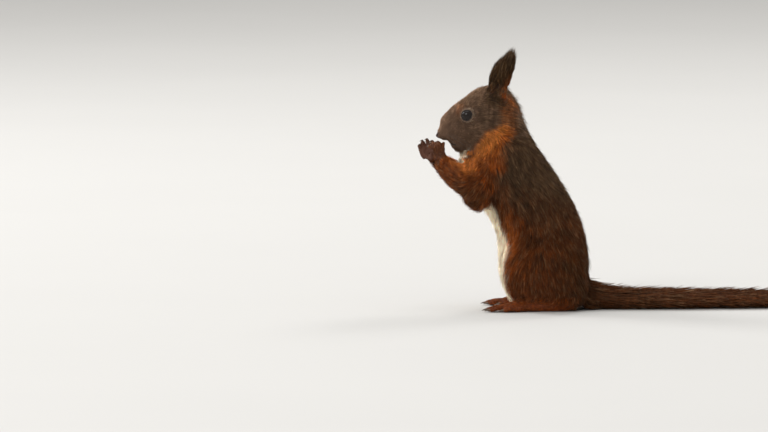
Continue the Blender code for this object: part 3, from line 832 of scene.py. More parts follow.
    # painted light: the hair is made brighter and paler where a light from behind would catch its tips:
    # crown, cheek, the forearm's ridge and the edge of the belly
    ridge = fade(2.0, 8.5, out) * ease(-1, 4, up + 0.2 * along) * (1 - 0.7 * ease(32, 44, along))
    cheekLight = 0.4 + bright["cheek"] * fade(7, 15, y - cheekFront)
    armCrest = ease(4, 11, overArm) * ease(-68, -58, y) * (1 - 0.7 * ease(-46, -38, y))
    paintedLight = cheek * cheekLight * ease(8, 14, x) * ease(98, 114, z)
    for area, values in (
        (onHead, np.maximum(0.3 + bright["crown"] * ease(1, 9, up + 0.1 * along), ridge)),
        (onNape, bright["earBack"] * earBack),
        (onArm, bright["armTop"] * armTop + bright["armCrest"] * armCrest),
        (onTrunk, bright["belly"] * band(girth, 34, 56, 8) * band(z, 36, 72, 10)),
        (onLeg, bright["thigh"] * fade(-26, -12, y)),
    ):
        paintedLight = mostOf(paintedLight, area, values)
    warm = fade(54, 98, z + ripple * 2 + (y + 10) * 0.2)
    return {
        "warm": np.where(onLeg | onTail | onArm, 1, warm),
        "pale": np.clip(pale, 0, 1),
        "rufous": np.clip(rufous, 0, 1),
        "darkAndShade": np.clip(darkAndShade, 0, 1),
        # painted light, none on the ears and less on dark or shaded hair
        "paintedLight": np.where(onEar, 0, paintedLight * (1 - 0.8 * darkAndShade)),
        "mauve": np.where(onHead, 1 - np.maximum(nape, cheek), 0),
    }


def giveAttribute(mesh, name, values):
    layer = mesh.attributes.new(name, "FLOAT", "POINT")
    layer.data.foreach_set("value", np.asarray(values, np.float32))


coatMasks = ("warm", "pale", "rufous", "darkAndShade", "paintedLight", "mauve")
skinMarks = {
    **furMasks(skinPoints, skinNames),
    **bareMasks(skinPoints, normalsOf(skin.data).astype(float), skinNames),
}
for mask in coatMasks + ("nose", "palm", "lids", "cup"):
    giveAttribute(skin.data, mask, skinMarks[mask])
print("markings placed")


# Materials
furColours = {
    "grey": (0.101, 0.055, 0.028),
    "mauve": (0.112, 0.066, 0.041),
    "red": (0.108, 0.031, 0.008),
    "orange": (0.265, 0.057, 0.0065),
    # the orange turned golden where painted light falls
    "gold": (0.28, 0.083, 0.0095),
    "cream": (0.9, 0.8, 0.62),
    # dark brown, for dark hair and for painted shade
    "darkAndShade": (0.042, 0.019, 0.006),
    "frost": (0.4, 0.26, 0.14),
}
skinColours = {  # laid over each other in this order
    "cup": (0.07, 0.036, 0.024),
    "palm": (0.125, 0.049, 0.029),
    "nose": (0.075, 0.042, 0.034),
    "lids": (0.02, 0.014, 0.011),
}


coatFinish = {
    "patch": (0.6, 1.42), "streak": (0.72, 1.22),  # the darkest and the lightest
    "rootToTip": (0.62, 1.28),
    # painted light: pale hair made brighter to make up for the belly and throat lying in shade
    "paintedLightOnPale": 0.21,
    "glow": 3.0, "veil": 0.2,  # how much brighter and how much paler the painted light makes the hair
}


class NodeSheet:
    def __init__(self, name):
        self.material = bpy.data.materials.new(name)
        self.material.use_nodes = True
        self.nodes = self.material.node_tree.nodes
        self.links = self.material.node_tree.links
        self.shader = self.nodes["Principled BSDF"]

    def add(self, kind, **values):
        node = self.nodes.new(kind)
        for key, value in values.items():
            setattr(node, key, value)
        return node

    def link(self, source, target):
        self.links.new(source, target)

    def mask(self, name):
        return self.add("ShaderNodeAttribute", attribute_name=name).outputs["Fac"]

    def fill(self, socket, value):
        if isinstance(value, bpy.types.NodeSocket):
            self.link(value, socket)
        else:
            socket.default_value = (*value, 1) if isinstance(value, tuple) else value

    def mix(self, amount, first, second, blend="MIX"):
        node = self.add("ShaderNodeMix", data_type="RGBA", blend_type=blend)
        for index, value in zip((0, 6, 7), (amount, first, second)):
            self.fill(node.inputs[index], value)
        return node.outputs[2]

    def times(self, colour, shade):
        # a colour made lighter or darker by one value
        grey = self.add("ShaderNodeCombineColor")
        for socket in grey.inputs[:3]:
            self.link(shade, socket)
        return self.mix(1.0, colour, grey.outputs[0], "MULTIPLY")

    def math(self, operation, *values):
        node = self.add("ShaderNodeMath", operation=operation)
        for socket, value in zip(node.inputs, values):
            self.fill(socket, value)
        return node.outputs[0]

    def noise(self, scale, detail=3.0, stretch=(1, 1, 1), turn=(0, 0, 0)):
        place = self.add("ShaderNodeTexCoord").outputs["Object"]
        mapping = self.add("ShaderNodeMapping")
        mapping.inputs["Scale"].default_value = stretch
        mapping.inputs["Rotation"].default_value = turn
        self.link(place, mapping.inputs["Vector"])
        node = self.add("ShaderNodeTexNoise")
        node.inputs["Scale"].default_value = scale
        node.inputs["Detail"].default_value = detail
        self.link(mapping.outputs["Vector"], node.inputs["Vector"])
        return node.outputs["Fac"]

    def ramp(self, value, fromLow, fromHigh, low, high):
        node = self.add("ShaderNodeMapRange")
        self.link(value, node.inputs["Value"])
        for name, amount in zip(("From Min", "From Max", "To Min", "To Max"), (fromLow, fromHigh, low, high)):
            node.inputs[name].default_value = amount
        return node.outputs["Result"]

    def finished(self, values):
        for name, value in values.items():
            self.fill(self.shader.inputs[name], value)
        return self.material


def twoTone(name, noise, low, high, dark, pale, values):
    # a finish of two tones, mixed by a noise that is spread from low to high
    sheet = NodeSheet(name)
    amount = sheet.ramp(sheet.noise(*noise), 0, 1, low, high)
    return sheet.finished({"Base Color": sheet.mix(amount, dark, pale), **values})


def furColour(sheet):
    ground = sheet.mix(sheet.mask("mauve"), furColours["grey"], furColours["mauve"])
    ground = sheet.mix(sheet.mask("warm"), ground, furColours["red"])
    # painted light turns the orange golden
    orange = sheet.mix(sheet.mask("paintedLight"), furColours["orange"], furColours["gold"])
    ground = sheet.mix(sheet.mask("rufous"), ground, orange)
    # dark hair and painted shade
    ground = sheet.mix(sheet.mask("darkAndShade"), ground, furColours["darkAndShade"])
    ground = sheet.mix(sheet.mask("pale"), ground, furColours["cream"])
    # painted light: the hair is made up to three times brighter and veiled towards a pale frost
    brighter = sheet.add("ShaderNodeVectorMath", operation="SCALE")
    sheet.link(ground, brighter.inputs[0])
    glow = sheet.ramp(sheet.mask("paintedLight"), 0, 1, 1.0, coatFinish["glow"])
    sheet.link(glow, brighter.inputs["Scale"])
    veil = sheet.math("MULTIPLY", sheet.mask("paintedLight"), coatFinish["veil"])
    return sheet.mix(veil, brighter.outputs[0], furColours["frost"])


def coatMaterial():
    sheet = NodeSheet("coat of guard hair")
    rise = sheet.mask("rise")
    frosted = sheet.math("MULTIPLY", sheet.mask("frost"), rise)
    colour = sheet.mix(frosted, furColour(sheet), furColours["frost"])
    patch = sheet.ramp(sheet.noise(120, 4.0, (1, 1, 0.5)), 0, 1, *coatFinish["patch"])
    streaks = sheet.noise(420, 2.0, (1, 1, 0.22), (0.35, 0, 0))
    streak = sheet.ramp(streaks, 0.35, 0.65, *coatFinish["streak"])
    shade = sheet.math("MULTIPLY", sheet.math("MULTIPLY", patch, streak), sheet.mask("tone"))
    shade = sheet.math("MULTIPLY", shade, sheet.ramp(rise, 0, 1, *coatFinish["rootToTip"]))
    # painted light on the pale hair
    lift = sheet.math("MULTIPLY", sheet.mask("pale"), coatFinish["paintedLightOnPale"])
    shade = sheet.math("ADD", shade, lift)
    return sheet.finished({
        "Base Color": sheet.times(colour, shade),
        "Roughness": 0.6,
        "Specular IOR Level": 0.06,
        "Sheen Weight": 0.05,
        "Sheen Roughness": 0.4,
        "Sheen Tint": (1.0, 0.8, 0.6),
    })


def skinMaterial():
    sheet = NodeSheet("skin under the coat")
    colour = sheet.mix(1.0, furColour(sheet), (0.6, 0.52, 0.48), "MULTIPLY")
    for name, tone in skinColours.items():
        colour = sheet.mix(sheet.mask(name), colour, tone)
    bump = sheet.add("ShaderNodeBump")
    sheet.fill(bump.inputs["Strength"], 0.35)
    sheet.fill(bump.inputs["Distance"], 0.15 * mm)
    sheet.link(sheet.noise(2600, 3.0), bump.inputs["Height"])
    return sheet.finished({
        "Base Color": sheet.times(colour, sheet.ramp(sheet.noise(900, 4.0), 0, 1, 0.75, 1.2)),
        "Normal": bump.outputs["Normal"],
        "Roughness": 0.6,
        "Specular IOR Level": 0.3,
    })


skin.data.materials.append(skinMaterial())
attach(skin, "root")
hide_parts(*[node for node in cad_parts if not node.startswith("eye")])


# The coat: every tuft is a thin closed spike, walked over the skin along the lie of the coat.
def partedAtEyes(lie, points):
    # no hair lies over an eye: what points at it is turned aside
    for middle in eyeMiddle.values():
        away = unit(points - middle)
        near = fade(6.0, 9.5, gapTo(points, middle))
        inward = np.minimum(np.sum(lie * away, axis=1), 0)
        lie = lie + away * ((0.35 - inward) * near)[:, None]
    return unit(lie)


def plannedTufts(points, names):
    # depth, length, half width and density at each point of the skin, finer on the face and round the eyes
    plan = planned(names)
    plan[:, 0] = coatDepths(points, names)
    onHead = starting(names, "head", "eye")
    along = headPlace(points)[0][onHead]
    plan[onHead, 1] = 1.3 + 3.4 * ease(2, 46, along)
    plan[onHead, 2] = 0.09 + 0.07 * ease(2, 40, along)
    plan[onHead, 3] = 4.8 - 1.9 * ease(2, 40, along)
    for middle in eyeMiddle.values():
        byEye = np.exp(-((gapTo(points, middle) - eyeRadius) / 2.4) ** 2)
        plan[:, 1] *= 1 - 0.6 * byEye
        plan[:, 2] *= 1 - 0.3 * byEye
    return plan


class SkinField:
    # what the coat needs to know at each face of the skin
    def __init__(self, mesh, points, names):
        mesh.calc_loop_triangles()
        self.corners = column(mesh.loop_triangles, "vertices", 3, np.int32)
        loops = column(mesh.loop_triangles, "loops", 3, np.int32)
        self.maps = column(mesh.uv_layers["OFBake"].data, "uv", 2)[loops]
        self.points = points
        triangle = points[self.corners]
        across = np.cross(triangle[:, 1] - triangle[:, 0], triangle[:, 2] - triangle[:, 0])
        self.areas = np.linalg.norm(across, axis=1) / 2
        self.middles = triangle.mean(axis=1)
        self.names = names[self.corners[:, 0]]
        normals = normalsOf(mesh).astype(float)
        self.normals = unit(self.onFaces(normals))
        ends = edgesOf(mesh)
        lie = smoothed(combDirection(points, normals, names), ends, 16, 0.8)
        self.calm = self.onFaces(ease(0.25, 0.85, np.linalg.norm(lie, axis=1)))
        self.lie = unit(self.onFaces(laidFlat(partedAtEyes(lie, points), normals)))
        self.plan = self.onFaces(smoothed(plannedTufts(points, names), ends, 26, 0.8))
        self.tree = BVHTree.FromPolygons((points * mm).tolist(), self.corners.tolist())

    def onFaces(self, values):
        return values[self.corners].mean(axis=1)

    def nearest(self, places):
        # the spot on the skin and its face, for each place
        found = [self.tree.find_nearest(spot) for spot in (places * mm).tolist()]
        return np.array([hit[0] for hit in found]) / mm, np.array([hit[2] for hit in found])


tuftPlan = {
    "turn": 0.4,  # how much of the coat's lie a tuft takes on at each step
    "fan": 0.25,  # how much of their distance the tips of a lock keep
    "toneLimits": (0.5, 1.7),
    "lengths": (0.75, 1.2), "widths": (0.75, 1.25), "lifts": (0.55, 1.08), "strayLifts": (0.1, 0.5),
    "pulls": (0.4, 1.4), "sway": 0.05, "rootSunk": 0.15, "flat": 0.55,
    "lockTone": 0.19, "tuftTone": 0.17,
}


def scattered(field, chosen, share=1.0):
    # places on the chosen faces, as dense as the coat's plan asks
    faces = np.flatnonzero(chosen)
    wanted = field.areas[faces] * field.plan[faces, 3] * share
    count = np.floor(wanted + chance.random(len(faces))).astype(int)
    faces = np.repeat(faces, count)
    first, second = chance.random((2, len(faces)))
    folded = first + second > 1
    first, second = np.where(folded, 1 - first, first), np.where(folded, 1 - second, second)
    weights = np.stack([1 - first - second, first, second], axis=1)
    places = np.einsum("ij,ijk->ik", weights, field.points[field.corners[faces]])
    maps = np.einsum("ij,ijk->ik", weights, field.maps[faces])
    return faces, places, maps


def walked(field, faces, places, lengths, steps):
    # the points and normals under each tuft, as it follows the skin
    path = np.empty((len(faces), steps + 1, 3))
    facing = np.empty_like(path)
    path[:, 0] = places
    facing[:, 0] = field.normals[faces]
    heading = field.lie[faces]
    turn = tuftPlan["turn"]
    for step in range(steps):
        target = path[:, step] + heading * (lengths / steps)[:, None]
        path[:, step + 1], here = field.nearest(target)
        facing[:, step + 1] = field.normals[here]
        heading = unit((1 - turn) * heading + turn * field.lie[here])
        heading = unit(laidFlat(heading, facing[:, step + 1]))
    return path, facing


def gathered(places, tips, spacing, pull):
    # draws the tips of neighbouring tufts together into locks
    count = len(places)
    picks = chance.choice(count, max(1, int(count / spacing)), replace=False)
    tree = KDTree(len(picks))
    for index, pick in enumerate(picks):
        tree.insert(places[pick], index)
    tree.balance()
    lock = np.array([tree.find(place)[1] for place in places.tolist()])
    target = tips[picks][lock] + (places - places[picks][lock]) * tuftPlan["fan"]
    return (target - tips) * pull[:, None], lock


def tones(locks, lockSpread, spread):
    # each lock has its own tone, and each tuft strays from its lock's
    shade = chance.normal(1, lockSpread, locks.max() + 1)[locks]
    return np.clip(shade * chance.normal(1, spread, len(locks)), *tuftPlan["toneLimits"])


def sampled(faces):
    return {mask: faceMarks[mask][faces] for mask in coatMasks}


def bentBy(offset, stations, power):
    # moves the tips of tufts by an offset, and their roots not at all
    return offset[:, None] * (stations[None, :, None] ** power)


coatPieces = []
spikePlan = {
    "ground": (0.25, 0.3),  # least height over the floor, and how far it strays
    "twist": 0.35,
    "shape": ([0, 0.3, 0.7, 1], [0.75, 1.0, 0.62, 0]),  # share of the half width along the tuft
    "patch": 0.003,  # the tuft's size on the map
    "frosted": 0.16, "frost": (0.15, 0.6),
    "mixing": 0.6,  # how far the markings mix at their edges
}


def spikePattern(rings):
    # the triangles of one spike: a closed root, three sides for each ring and a point
    pattern = [(0, 2, 1)]
    for ring in range(rings - 1):
        for corner in range(3):
            low, nextLow = ring * 3 + corner, ring * 3 + (corner + 1) % 3
            pattern += [(low, nextLow, nextLow + 3), (low, nextLow + 3, low + 3)]
    last = (rings - 1) * 3
    pattern += [(last + corner, last + (corner + 1) % 3, rings * 3) for corner in range(3)]
    return np.array(pattern)


def meshOfTriangles(name, verts, triangles):
    mesh = bpy.data.meshes.new(name)
    mesh.vertices.add(len(verts))
    mesh.vertices.foreach_set("co", (verts * mm).astype(np.float32).ravel())
    mesh.loops.add(triangles.size)
    mesh.loops.foreach_set("vertex_index", triangles.astype(np.int32).ravel())
    mesh.polygons.add(len(triangles))
    mesh.polygons.foreach_set("loop_start", np.arange(0, triangles.size, 3, dtype=np.int32))
    mesh.polygons.foreach_set("use_smooth", np.ones(len(triangles), bool))
    mesh.update(calc_edges=True)
    return mesh


def spikes(name, centres, facing, widths, flat, maps, masks, tone):
    # closed tapered spikes, three-sided, with a ring at each station and a point at the end
    count, stations, _ = centres.shape
    rings = stations - 1
    each = rings * 3 + 1
    run = np.gradient(centres, axis=1)
    across = unit(np.cross(run, facing))
    over = unit(np.cross(across, run))
    twist = chance.normal(0, spikePlan["twist"], count)[:, None]
    reach = widths[:, None] * np.interp(np.linspace(0, 1, stations), *spikePlan["shape"])[None, :rings]
    verts = np.empty((count, each, 3))
    for corner in range(3):
        angle = twist + math.radians(90 + 120 * corner)
        aside = across[:, :rings] * (np.cos(angle) * reach)[..., None]
        raised = over[:, :rings] * (np.sin(angle) * reach * flat)[..., None]
        verts[:, corner:rings * 3:3] = centres[:, :rings] + aside + raised
    verts[:, -1] = centres[:, -1]
    least, stray = spikePlan["ground"]
    verts[..., 2] = np.maximum(verts[..., 2], least + stray * chance.random((count, 1)))
    triangles = (spikePattern(rings)[None] + (np.arange(count) * each)[:, None, None]).reshape(-1, 3)
    mesh = meshOfTriangles(name, verts.reshape(-1, 3), triangles)
    rise = np.concatenate([np.repeat(np.linspace(0, 1, stations)[:rings], 3), [1.0]])
    corner = np.concatenate([np.tile([0.0, 0.5, 1.0], rings), [0.5]])
    spot = maps[:, None] + np.stack([corner - 0.5, rise - 0.5], axis=1)[None] * spikePlan["patch"]
    layer = mesh.uv_layers.new(name="OFBake")
    layer.data.foreach_set("uv", spot.reshape(-1, 2)[triangles.ravel()].astype(np.float32).ravel())
    giveAttribute(mesh, "rise", np.tile(rise, count))
    giveAttribute(mesh, "tone", np.repeat(tone, each))
    isFrosted = chance.random(count) < spikePlan["frosted"]
    frost = np.where(isFrosted, chance.uniform(*spikePlan["frost"], count), 0)
    giveAttribute(mesh, "frost", np.repeat(frost, each))
    for mask in coatMasks:
        edge = np.maximum(masks[mask] * (1 - masks[mask]), 0)
        mixed = np.clip(masks[mask] + chance.normal(0, spikePlan["mixing"], count) * edge, 0, 1)
        giveAttribute(mesh, mask, np.repeat(mixed, each))
    piece = linked(name, mesh)
    mesh.materials.append(furMaterial)
    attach(piece, "root")
    coatPieces.append(piece)
    print(name + ":", count, "tufts,", len(triangles), "triangles")


furMaterial = coatMaterial()
field = SkinField(skin.data, skinPoints, skinNames)
faceMarks = furMasks(field.middles, field.names)
furred = bareMasks(field.middles, field.normals, field.names)["bare"] < 0.5
for reach, past in lidGaps(field.middles):
    furred &= ~((reach < 9) & (past < 0.11))
print("coat planned")


def longHair(places):
    # the long hair that fills the fold under each elbow, the sides of the neck and the throat over the arms
    x, y, z = np.abs(places[:, 0]), places[:, 1], places[:, 2]
    elbow = band(z, 68, 92, 7) * fade(-44, -34, y)
    neck = band(z, 110, 127, 6) * ease(7, 12, x) * ease(-36, -28, y)
    throat = 0.8 * band(z, 97, 110, 4) * fade(-48, -38, y) * fade(7, 11, x)
    tailRoot = 1.5 * fade(8, 15, z) * ease(6, 14, y)
    return elbow + neck + throat + tailRoot


def clearOfEyes(centres):
    clear = np.ones(len(centres), bool)
    for station in range(1, centres.shape[1]):
        for reach, past in lidGaps(centres[:, station]):
            clear &= ~((reach < eyeRadius + 4) & (past < 0.02))
    return clear


def growCoat(name, chosen, steps, lock=14, pull=0.3, stray=0.1, flare=0.0, share=1.0):
    faces, places, maps = scattered(field, chosen & furred, share)
    count = len(faces)
    depth, length, width, _ = field.plan[faces].T
    depth = np.maximum(depth, 0.25)
    length = length * chance.uniform(*tuftPlan["lengths"], count)
    path, facing = walked(field, faces, places, length, steps)
    stations = np.linspace(0, 1, steps + 1)
    lift = depth * chance.uniform(*tuftPlan["lifts"], count)
    lift += np.where(chance.random(count) < stray, depth * chance.uniform(*tuftPlan["strayLifts"], count), 0)
    raised = flare(places) if callable(flare) else flare
    lift *= (1 + raised + 0.5 * longHair(places)) * (0.35 + 0.65 * field.calm[faces])
    rise = 1 - (1 - stations) ** 1.5
    stand = lift[:, None] * rise[None] - tuftPlan["rootSunk"] * (stations[None] == 0)
    centres = path + facing * stand[..., None]
    pulled, locks = gathered(places, centres[:, -1], lock, pull * chance.uniform(*tuftPlan["pulls"], count))
    centres += bentBy(laidFlat(pulled, facing[:, -1]), stations, 1.6)
    sway = chance.normal(0, tuftPlan["sway"], (count, 3)) * length[:, None]
    centres += bentBy(laidFlat(sway, facing[:, -1]), stations, 1.4)
    tone = tones(locks, tuftPlan["lockTone"], tuftPlan["tuftTone"])
    width = width * chance.uniform(*tuftPlan["widths"], count)
    keep = clearOfEyes(centres)
    spikes(name, centres[keep], facing[keep], width[keep], tuftPlan["flat"], maps[keep],
           sampled(faces[keep]), tone[keep])


def napeFlare(places):
    return 0.65 * ease(118, 132, places[:, 2])


def onSide(sign):
    return field.middles[:, 0] * sign > 0


def among(*starts):
    return starting(field.names, *starts)


for side, sign in sides.items():
    growCoat("coat_head_" + side, among("head", "eye") & onSide(sign), 2, lock=10, pull=0.2, stray=0.22)
    growCoat("coat_chest_" + side, among("neck", "chest") & onSide(sign), 3, lock=17, pull=0.36)
    growCoat("coat_loin_" + side, among("abdomen", "rump") & onSide(sign), 3, lock=17, pull=0.36)
    growCoat("coat_thigh_" + side, among("hind_leg_" + side), 3, lock=17, pull=0.36)
    growCoat("coat_arm_" + side, among("forearm_" + side), 3, lock=12, pull=0.3)
    growCoat("coat_paws_" + side, among("forepaw_" + side, "hind_foot_" + side), 2, lock=8, pull=0.15)
    growCoat("coat_ear_" + side, among("ear_" + side), 3, lock=10, pull=0.3)
    nape = among("head", "neck") & (field.middles[:, 1] > -34) & onSide(sign)
    nape &= chance.random(len(nape)) < ease(116, 130, field.middles[:, 2])
    growCoat("coat_nape_" + side, nape, 3, lock=9, pull=0.55, stray=0.35, flare=napeFlare, share=0.35)


# Hair that stands free of the skin: the ear tufts and the tail's plume.
def lineFrames(line, distances):
    # points along a line at given distances, and its direction, level and upright axes there
    line = np.array(line, float)
    reached = reachedAlong(line)
    places, run = (np.stack([np.interp(distances, reached, values[:, axis]) for axis in range(3)], axis=1)
                   for values in (line, np.gradient(line, reached, axis=0)))
    run = unit(run)
    places += run * (np.maximum(distances - reached[-1], 0) + np.minimum(distances, 0))[:, None]
    level = unit(np.cross(run, (0, 0, 1)))
    return places, run, level, np.cross(level, run)


tailPlan = {
    "tufts": 12600, "start": -9, "end": 178, "reach": (10, 24), "halfWidth": 0.2, "widths": (0.7, 1.25),
    "stations": [0, 0.3, 0.62, 0.85, 1.0],
    "level": 1.25,  # over 1 brings more of the hair out to the sides
    "fullness": (0.5, 1.04),  # share of the outline that the hair reaches
    "strays": (0.12, 0.15),  # how many pass it, and by how much
    "opening": 0.62,  # under 1 opens the hair nearer its root
    "lock": 7, "pulls": (0.0, 0.25), "sway": 0.07, "lockTone": 0.12, "tuftTone": 0.2, "flat": 0.7,
    # distance along the tail, half width, half thickness
    "outline": [(0, 10.4, 10.2), (12, 10.6, 10), (26, 12.4, 9.4), (54, 17.5, 7.8), (84, 22, 7),
                (114, 23.5, 6.8), (144, 21.5, 6.2), (168, 15, 5), (184, 7, 3.5), (196, 2, 1.5)],
}
earTuftPlan = {
    "tufts": 2200, "start": 0.45, "length": (6.5, 13.5), "lengths": (0.75, 1.05),
    "halfWidth": 0.14, "widths": (0.7, 1.2), "flat": 0.7, "stations": [0, 0.35, 0.7, 1.0],
    "narrowing": 0.5, "belly": 1.3, "scatter": 0.15, "sway": 0.06, "lean": 0.05, "tone": 0.25,
}


def freeSpikes(name, plan, centres, facing, faces, masks, tone):
    widths = plan["halfWidth"] * chance.uniform(*plan["widths"], len(faces))
    spikes(name, centres, facing, widths, plan["flat"], field.maps[faces].mean(axis=1), masks, tone)


def growTail(name, sign):
    count = tailPlan["tufts"] // 2
    root = tailPlan["start"] + (tailPlan["end"] - tailPlan["start"]) * chance.random(count)
    turn = chance.uniform(-math.pi / 2, math.pi / 2, count)
    turn = np.sign(turn) * np.abs(turn / (math.pi / 2)) ** tailPlan["level"] * (math.pi / 2)
    aside, raised = np.cos(turn) * sign, np.sin(turn)
    reach = chance.uniform(*tailPlan["reach"], count) * (0.75 + 0.25 * np.abs(aside))
    where, wide, thick = np.array(tailPlan["outline"]).T
    strays, past = tailPlan["strays"]
    full = chance.uniform(*tailPlan["fullness"], count) + np.where(chance.random(count) < strays, past, 0)
    core = np.interp(root, reachedAlong(tailLine), skinPlan["tailRadii"]) * 0.9
    halfWide, halfThick = (np.interp(root + reach, where, half) * full for half in (wide, thick))
    stations = np.array(tailPlan["stations"])
    centres = np.empty((count, len(stations), 3))
    facing = np.empty_like(centres)
    for index, part in enumerate(stations):
        places, _, level, upright = lineFrames(tailLine, root + reach * part)
        spread = part ** tailPlan["opening"]
        across, over = (core * (1 - spread) + half * spread for half in (halfWide, halfThick))
        out = level * (aside * across)[:, None] + upright * (raised * over)[:, None]
        centres[:, index] = places + out
        facing[:, index] = unit(out + 1e-3)
    _, faces = field.nearest(centres[:, 0])
    pull = chance.uniform(*tailPlan["pulls"], count)
    pulled, locks = gathered(centres[:, 0], centres[:, -1], tailPlan["lock"], pull)
    sway = chance.normal(0, tailPlan["sway"], (count, 3)) * reach[:, None]
    centres += bentBy(pulled + sway, stations, 1.6)
    tone = tones(locks, tailPlan["lockTone"], tailPlan["tuftTone"])
    masks = sampled(faces)
    masks["darkAndShade"] = masks["darkAndShade"] + 0.3 * chance.random(count)
    masks["warm"] = chance.uniform(0.55, 1, count)
    masks["rufous"] = np.full(count, 0.1)
    masks["pale"] = np.zeros(count)
    freeSpikes(name, tailPlan, centres, facing, faces, masks, tone)


def growEarTuft(name, side):
    line = np.array(earLines[side])
    onEar = np.flatnonzero(field.names == "ear_" + side)
    _, _, risen = nearestOnLine(field.middles[onEar], line)
    risen = risen / skinPlan["earLength"]
    weight = field.areas[onEar] * ease(earTuftPlan["start"] - 0.1, 0.9, risen)
    picks = chance.choice(len(onEar), earTuftPlan["tufts"], p=weight / weight.sum())
    faces, risen = onEar[picks], risen[picks]
    count = len(faces)
    roots = field.middles[faces] + chance.normal(0, earTuftPlan["scatter"], (count, 3))
    _, _, along = nearestOnLine(roots, line)
    least, most = earTuftPlan["length"]
    length = least + (most - least) * ease(0.4, 1.0, risen)
    length = length * chance.uniform(*earTuftPlan["lengths"], count)
    total = reachedAlong(line)[-1]
    offset = roots - lineFrames(line, along * total)[0]
    stations = np.array(earTuftPlan["stations"])
    centres = np.empty((count, len(stations), 3))
    facing = np.empty_like(centres)
    for index, part in enumerate(stations):
        distance = along * total + length * part
        narrow = 1 - earTuftPlan["narrowing"] * ease(0.68, 1.08, distance / total)
        lifted = field.normals[faces] * (earTuftPlan["belly"] * math.sin(part * 2.6))
        centres[:, index] = lineFrames(line, distance)[0] + offset * narrow[:, None] + lifted
        facing[:, index] = field.normals[faces]
    sway = chance.normal(0, earTuftPlan["sway"], (count, 3)) * length[:, None]
    sway[:, 1] -= earTuftPlan["lean"] * length * ease(0.5, 2.5, offset[:, 1])
    centres += bentBy(sway, stations, 1.5)
    tone = np.clip(chance.normal(1, earTuftPlan["tone"], count), *tuftPlan["toneLimits"])
    masks = sampled(faces)
    tipped = ease(0.75, 1.0, risen) * chance.random(count)
    masks["darkAndShade"] = np.clip(masks["darkAndShade"] + 0.25 - 0.7 * tipped, 0, 1)
    freeSpikes(name, earTuftPlan, centres, facing, faces, masks, tone)


bib = among("neck", "chest", "head") & (np.abs(field.middles[:, 0]) < 8) & (field.middles[:, 1] < -38)
bib &= (field.middles[:, 2] > 97) & (field.middles[:, 2] < 109) & (field.normals[:, 1] < -0.2)
growCoat("coat_bib", bib, 3, lock=8, pull=0.2, stray=0.3, flare=1.9, share=2.4)
for side, sign in sides.items():
    growTail("coat_tail_" + side, -sign)
    growEarTuft("coat_ear_tuft_" + side, side)
print("coat:", sum(len(piece.data.polygons) for piece in coatPieces), "triangles")


# Claws and whiskers: tapered horns along a few stations.
def meshPiece(name, work, material):
    mesh = meshFrom(work, name)
    mesh.materials.append(material)
    piece = linked(name, mesh)
    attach(piece, "root")
    return piece


def hornPiece(name, horns, corners, material):
    work = bmesh.new()
    for stations, radii in horns:
        taperedHorn(work, stations, radii, corners)
    bmesh.ops.recalc_face_normals(work, faces=work.faces)
    meshPiece(name, work, material)


hornTaper = ([0.15, 0.4, 0.65, 0.85, 1.0], [0.95, 1.0, 0.82, 0.58, 0.34, 0.08])
whiskerPlan = {
    "radius": 0.06, "corners": 5, "droop": (0, 0.1, -0.32),
    # along, up and out on the head
    "roots": [(3.6, -1.6, 4.2), (4.4, -3.4, 5.0), (5.2, -5.2, 5.6), (5.4, -1.2, 5.2), (6.2, -3.0, 6.0),
              (7.0, -5.0, 6.6), (7.8, -2.4, 6.8), (8.6, -4.4, 7.4)],
    "lengths": [24, 28, 30, 31, 34, 36, 30, 27],
}


def hornLine(start, forward, plan, droop):
    # stations and radii of a claw that carries on a digit and hooks over
    parts, shares = hornTaper
    stations = []
    for part in [-plan["sink"] / plan["reach"]] + parts:
        bend = np.array(droop) * plan["hook"] * max(part, 0) ** 2
        stations.append(tuple(start + forward * plan["reach"] * part + bend))
    return stations, [plan["radius"] * share for share in shares]


def foreClawLines(side, sign):
    for tip in foreClaws["tips"][side]:
        forward = unit(-np.array(foreClaws["forward"]) * (sign, 1, 1))
        yield hornLine(np.array(tip), forward, foreClaws, np.array(foreClaws["droop"]) * (sign, 1, 1))


def hindClawLines(sign):
    for rank in range(len(hindClaws["toes"])):
        _, forward, tip = toeLine(rank, sign)
        yield hornLine(tip, forward, hindClaws, (0, 0, -1))


def whiskerLines(sign):
    for (along, up, out), length in zip(whiskerPlan["roots"], whiskerPlan["lengths"]):
        root = headPoint(along, up, out * sign)
        heading = headBack * (0.3 + 0.05 * along) + headUp * (-0.52 + 0.06 * up)
        heading = unit(heading + np.array([1.15 * sign, 0, 0]))
        droop = np.array(whiskerPlan["droop"]) * length
        parts = np.linspace(-0.03, 1, 8)
        stations = [tuple(root + heading * length * part + droop * max(part, 0) ** 2) for part in parts]
        yield stations, [whiskerPlan["radius"] * (1.05 - 0.9 * max(part, 0)) for part in parts]


clawHorn = twoTone("dark claw horn", (700, 3.0, (1, 1, 0.3)), 0.1, 0.9,
                   (0.045, 0.028, 0.018), (0.16, 0.1, 0.062), {"Roughness": 0.38})
whiskerHair = twoTone("whisker", (150,), 0, 1, (0.03, 0.02, 0.014), (0.09, 0.064, 0.045), {"Roughness": 0.4})
for side, sign in sides.items():
    hornPiece("claws_fore_" + side, foreClawLines(side, sign), 10, clawHorn)
    hornPiece("claws_hind_" + side, hindClawLines(sign), 10, clawHorn)
    hornPiece("whiskers_" + side, whiskerLines(sign), whiskerPlan["corners"], whiskerHair)
print("claws and whiskers made")


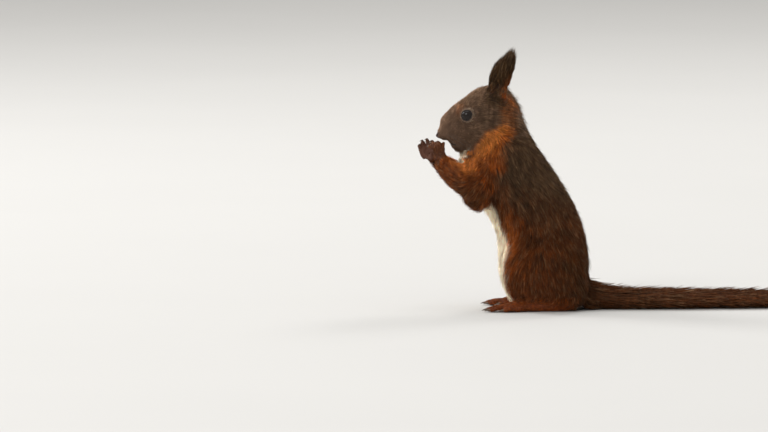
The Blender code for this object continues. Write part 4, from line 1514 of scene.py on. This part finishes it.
# Eyes
eyePlan = {"segments": 48, "rings": 32}
wetEye = twoTone("wet dark eye", (500, 3.0), 0.2, 0.8, (0.006, 0.004, 0.003), (0.016, 0.009, 0.006),
                 {"Roughness": 0.06, "Specular IOR Level": 0.25})
for side in sides:
    ball = bmesh.new()
    bmesh.ops.create_uvsphere(ball, u_segments=eyePlan["segments"], v_segments=eyePlan["rings"],
                              radius=eyeRadius * mm, matrix=Matrix.Translation(Vector(eyeMiddle[side] * mm)))
    piece = meshPiece("eyeball_" + side, ball, wetEye)
    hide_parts("eye_" + side)
print("eyes set")


# Studio
studioPlan = {
    "floor": 30.0, "floorTone": (0.6, 0.59, 0.57), "worldTone": (1.0, 0.99, 0.97), "worldStrength": 0.68,
    "lampsAim": (0, -0.02, 0.08),
}
lampPlan = {  # place, energy, size
    "overhead": ((-0.6, -0.6, 4.5), 46, 3.5),
    "window": ((-1.3, -2.4, 1.7), 50, 1.1),
    "behind": ((-2.2, 1.4, 2.2), 22, 1.0),
    "key": ((2.0, -1.45, 1.8), 24, 0.75),
}
cameraPlan = {"aim": (0.0, -0.1078, 0.0632), "distance": 4.352, "elevation": 5.0, "lens": 300}


def makeFloor():
    work = bmesh.new()
    bmesh.ops.create_grid(work, x_segments=1, y_segments=1, size=studioPlan["floor"] / 2)
    floor = linked("floor", meshFrom(work, "floor"))
    tone = studioPlan["floorTone"]
    paler = tuple(value * 1.04 for value in tone)
    floor.data.materials.append(twoTone("pale floor", (3.0,), 0, 1, tone, paler, {"Roughness": 0.75}))


def makeLights():
    world = bpy.data.worlds.new("studio")
    bpy.context.scene.world = world
    world.use_nodes = True
    sky = world.node_tree.nodes["Background"].inputs
    sky["Color"].default_value = (*studioPlan["worldTone"], 1)
    sky["Strength"].default_value = studioPlan["worldStrength"]
    for name, (place, energy, size) in lampPlan.items():
        lamp = bpy.data.lights.new(name, "AREA")
        lamp.energy = energy
        lamp.size = size
        holder = linked(name, lamp)
        holder.location = place
        aim = Vector(studioPlan["lampsAim"]) - Vector(place)
        holder.rotation_euler = aim.to_track_quat("-Z", "Y").to_euler()


def makeCamera():
    camera = bpy.data.cameras.new("camera")
    camera.lens = cameraPlan["lens"]
    camera.sensor_width = 36
    camera.clip_end = 60
    holder = linked("camera", camera)
    raised = math.radians(cameraPlan["elevation"])
    back = Vector((math.cos(raised), 0, math.sin(raised)))
    holder.location = Vector(cameraPlan["aim"]) + back * cameraPlan["distance"]
    holder.rotation_euler = (-back).to_track_quat("-Z", "Y").to_euler()
    bpy.context.scene.camera = holder


makeFloor()
makeLights()
makeCamera()
bpy.context.scene.view_settings.view_transform = "Standard"
print("scene ready")
